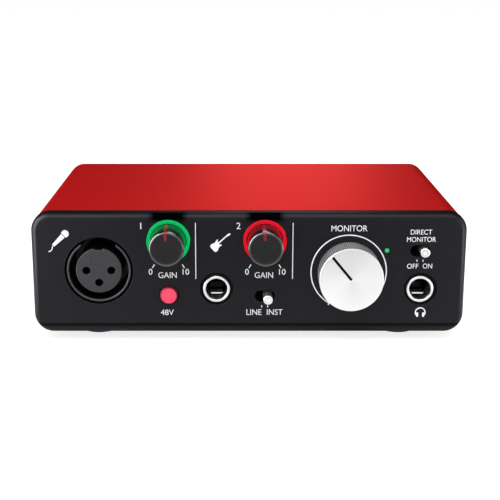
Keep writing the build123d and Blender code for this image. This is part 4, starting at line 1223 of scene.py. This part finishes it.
def cards():
    # dark cards round and above the back, out of the camera's view, that only mirrors see
    half, sideX = cardPlan["half"], cardPlan["sideX"]
    points = [(side * half, y, z) for y, z in cardPlan["cove"] for side in (-1, 1)]
    faces = [(2 * row, 2 * row + 1, 2 * row + 3, 2 * row + 2) for row in range(len(cardPlan["cove"]) - 1)]
    for side in (-1, 1):
        faces.append(tuple(range(len(points), len(points) + 4)))
        points += [(side * sideX, y, z) for y, z in cardPlan["side"]]
    mesh = bpy.data.meshes.new("cards")
    mesh.from_pydata(points, [], faces)
    material, place = startMaterial("cardCloth")
    tone = blend(noise(place, 3, 2), 0.010, 0.016)
    endMaterial(material, place, {"Base Color": tone, "Roughness": 0.9, "Specular IOR Level": 0.0})
    mesh.materials.append(material)
    card = addObject("cards", mesh)
    hideFrom(card, "camera", "diffuse", "shadow")


def glows():
    # bright square cards
    for name, (middle, target, size, radiance) in glowPlan.items():
        mesh = bpy.data.meshes.new(name)
        corners = [(x * size[0] / 2, y * size[1] / 2, 0) for x, y in square]
        mesh.from_pydata(corners, [], [(0, 1, 2, 3)])
        material, place = startMaterial(name)
        light = place.node("ShaderNodeEmission", inputs={"Color": white, "Strength": radiance})
        place.node("ShaderNodeOutputMaterial", inputs={"Surface": light})
        mesh.materials.append(material)
        card = addObject(name, mesh)
        aim(card, middle, target)
        hideFrom(card, "camera", "diffuse", "transmission", "shadow", "volume_scatter")


def lamps():
    # a wide soft sun and the area lights
    sun = bpy.data.lights.new("softSun", "SUN")
    sun.energy = sunPlan["energy"]
    sun.angle = radians(sunPlan["angle"])
    holder = addObject("softSun", sun)
    hideFrom(holder, "glossy")
    aim(holder, sunPlan["from"], (0, 0, 0))
    for name, (spot, target, size, power, mirrored) in lampPlan.items():
        lamp = bpy.data.lights.new(name, "AREA")
        lamp.shape = "RECTANGLE"
        lamp.size, lamp.size_y = size
        lamp.energy = power
        holder = addObject(name, lamp)
        hideFrom(holder, "camera", *(() if mirrored else ("glossy",)))
        aim(holder, spot, target)


# The camera looks at x and a rise above the underside from a distance in millimetres.
view = {"distance": 384.95, "elevation": 15.157, "x": -4.216, "rise": 20.5, "lens": 84.10,
        "shift": (0.02771, 0.0477)}


def camera():
    # spot = target + distance * (0, -cos of the elevation, sin of the elevation)
    made = bpy.data.cameras.new("camera")
    made.lens = view["lens"]
    made.sensor_width = 36.0
    made.shift_x, made.shift_y = view["shift"]
    made.clip_start = 0.01
    made.clip_end = 50.0
    holder = addObject("camera", made)
    target = np.array((view["x"], faceY, underside + view["rise"]))
    tilt = radians(view["elevation"])
    spot = target + view["distance"] * np.array((0, -cos(tilt), sin(tilt)))
    aim(holder, tuple(spot / perMetre), tuple(target / perMetre))
    bpy.context.scene.camera = holder


floor()
world()
cards()
glows()
lamps()
camera()
bpy.context.scene.view_settings.view_transform = "Standard"
print("studio done")
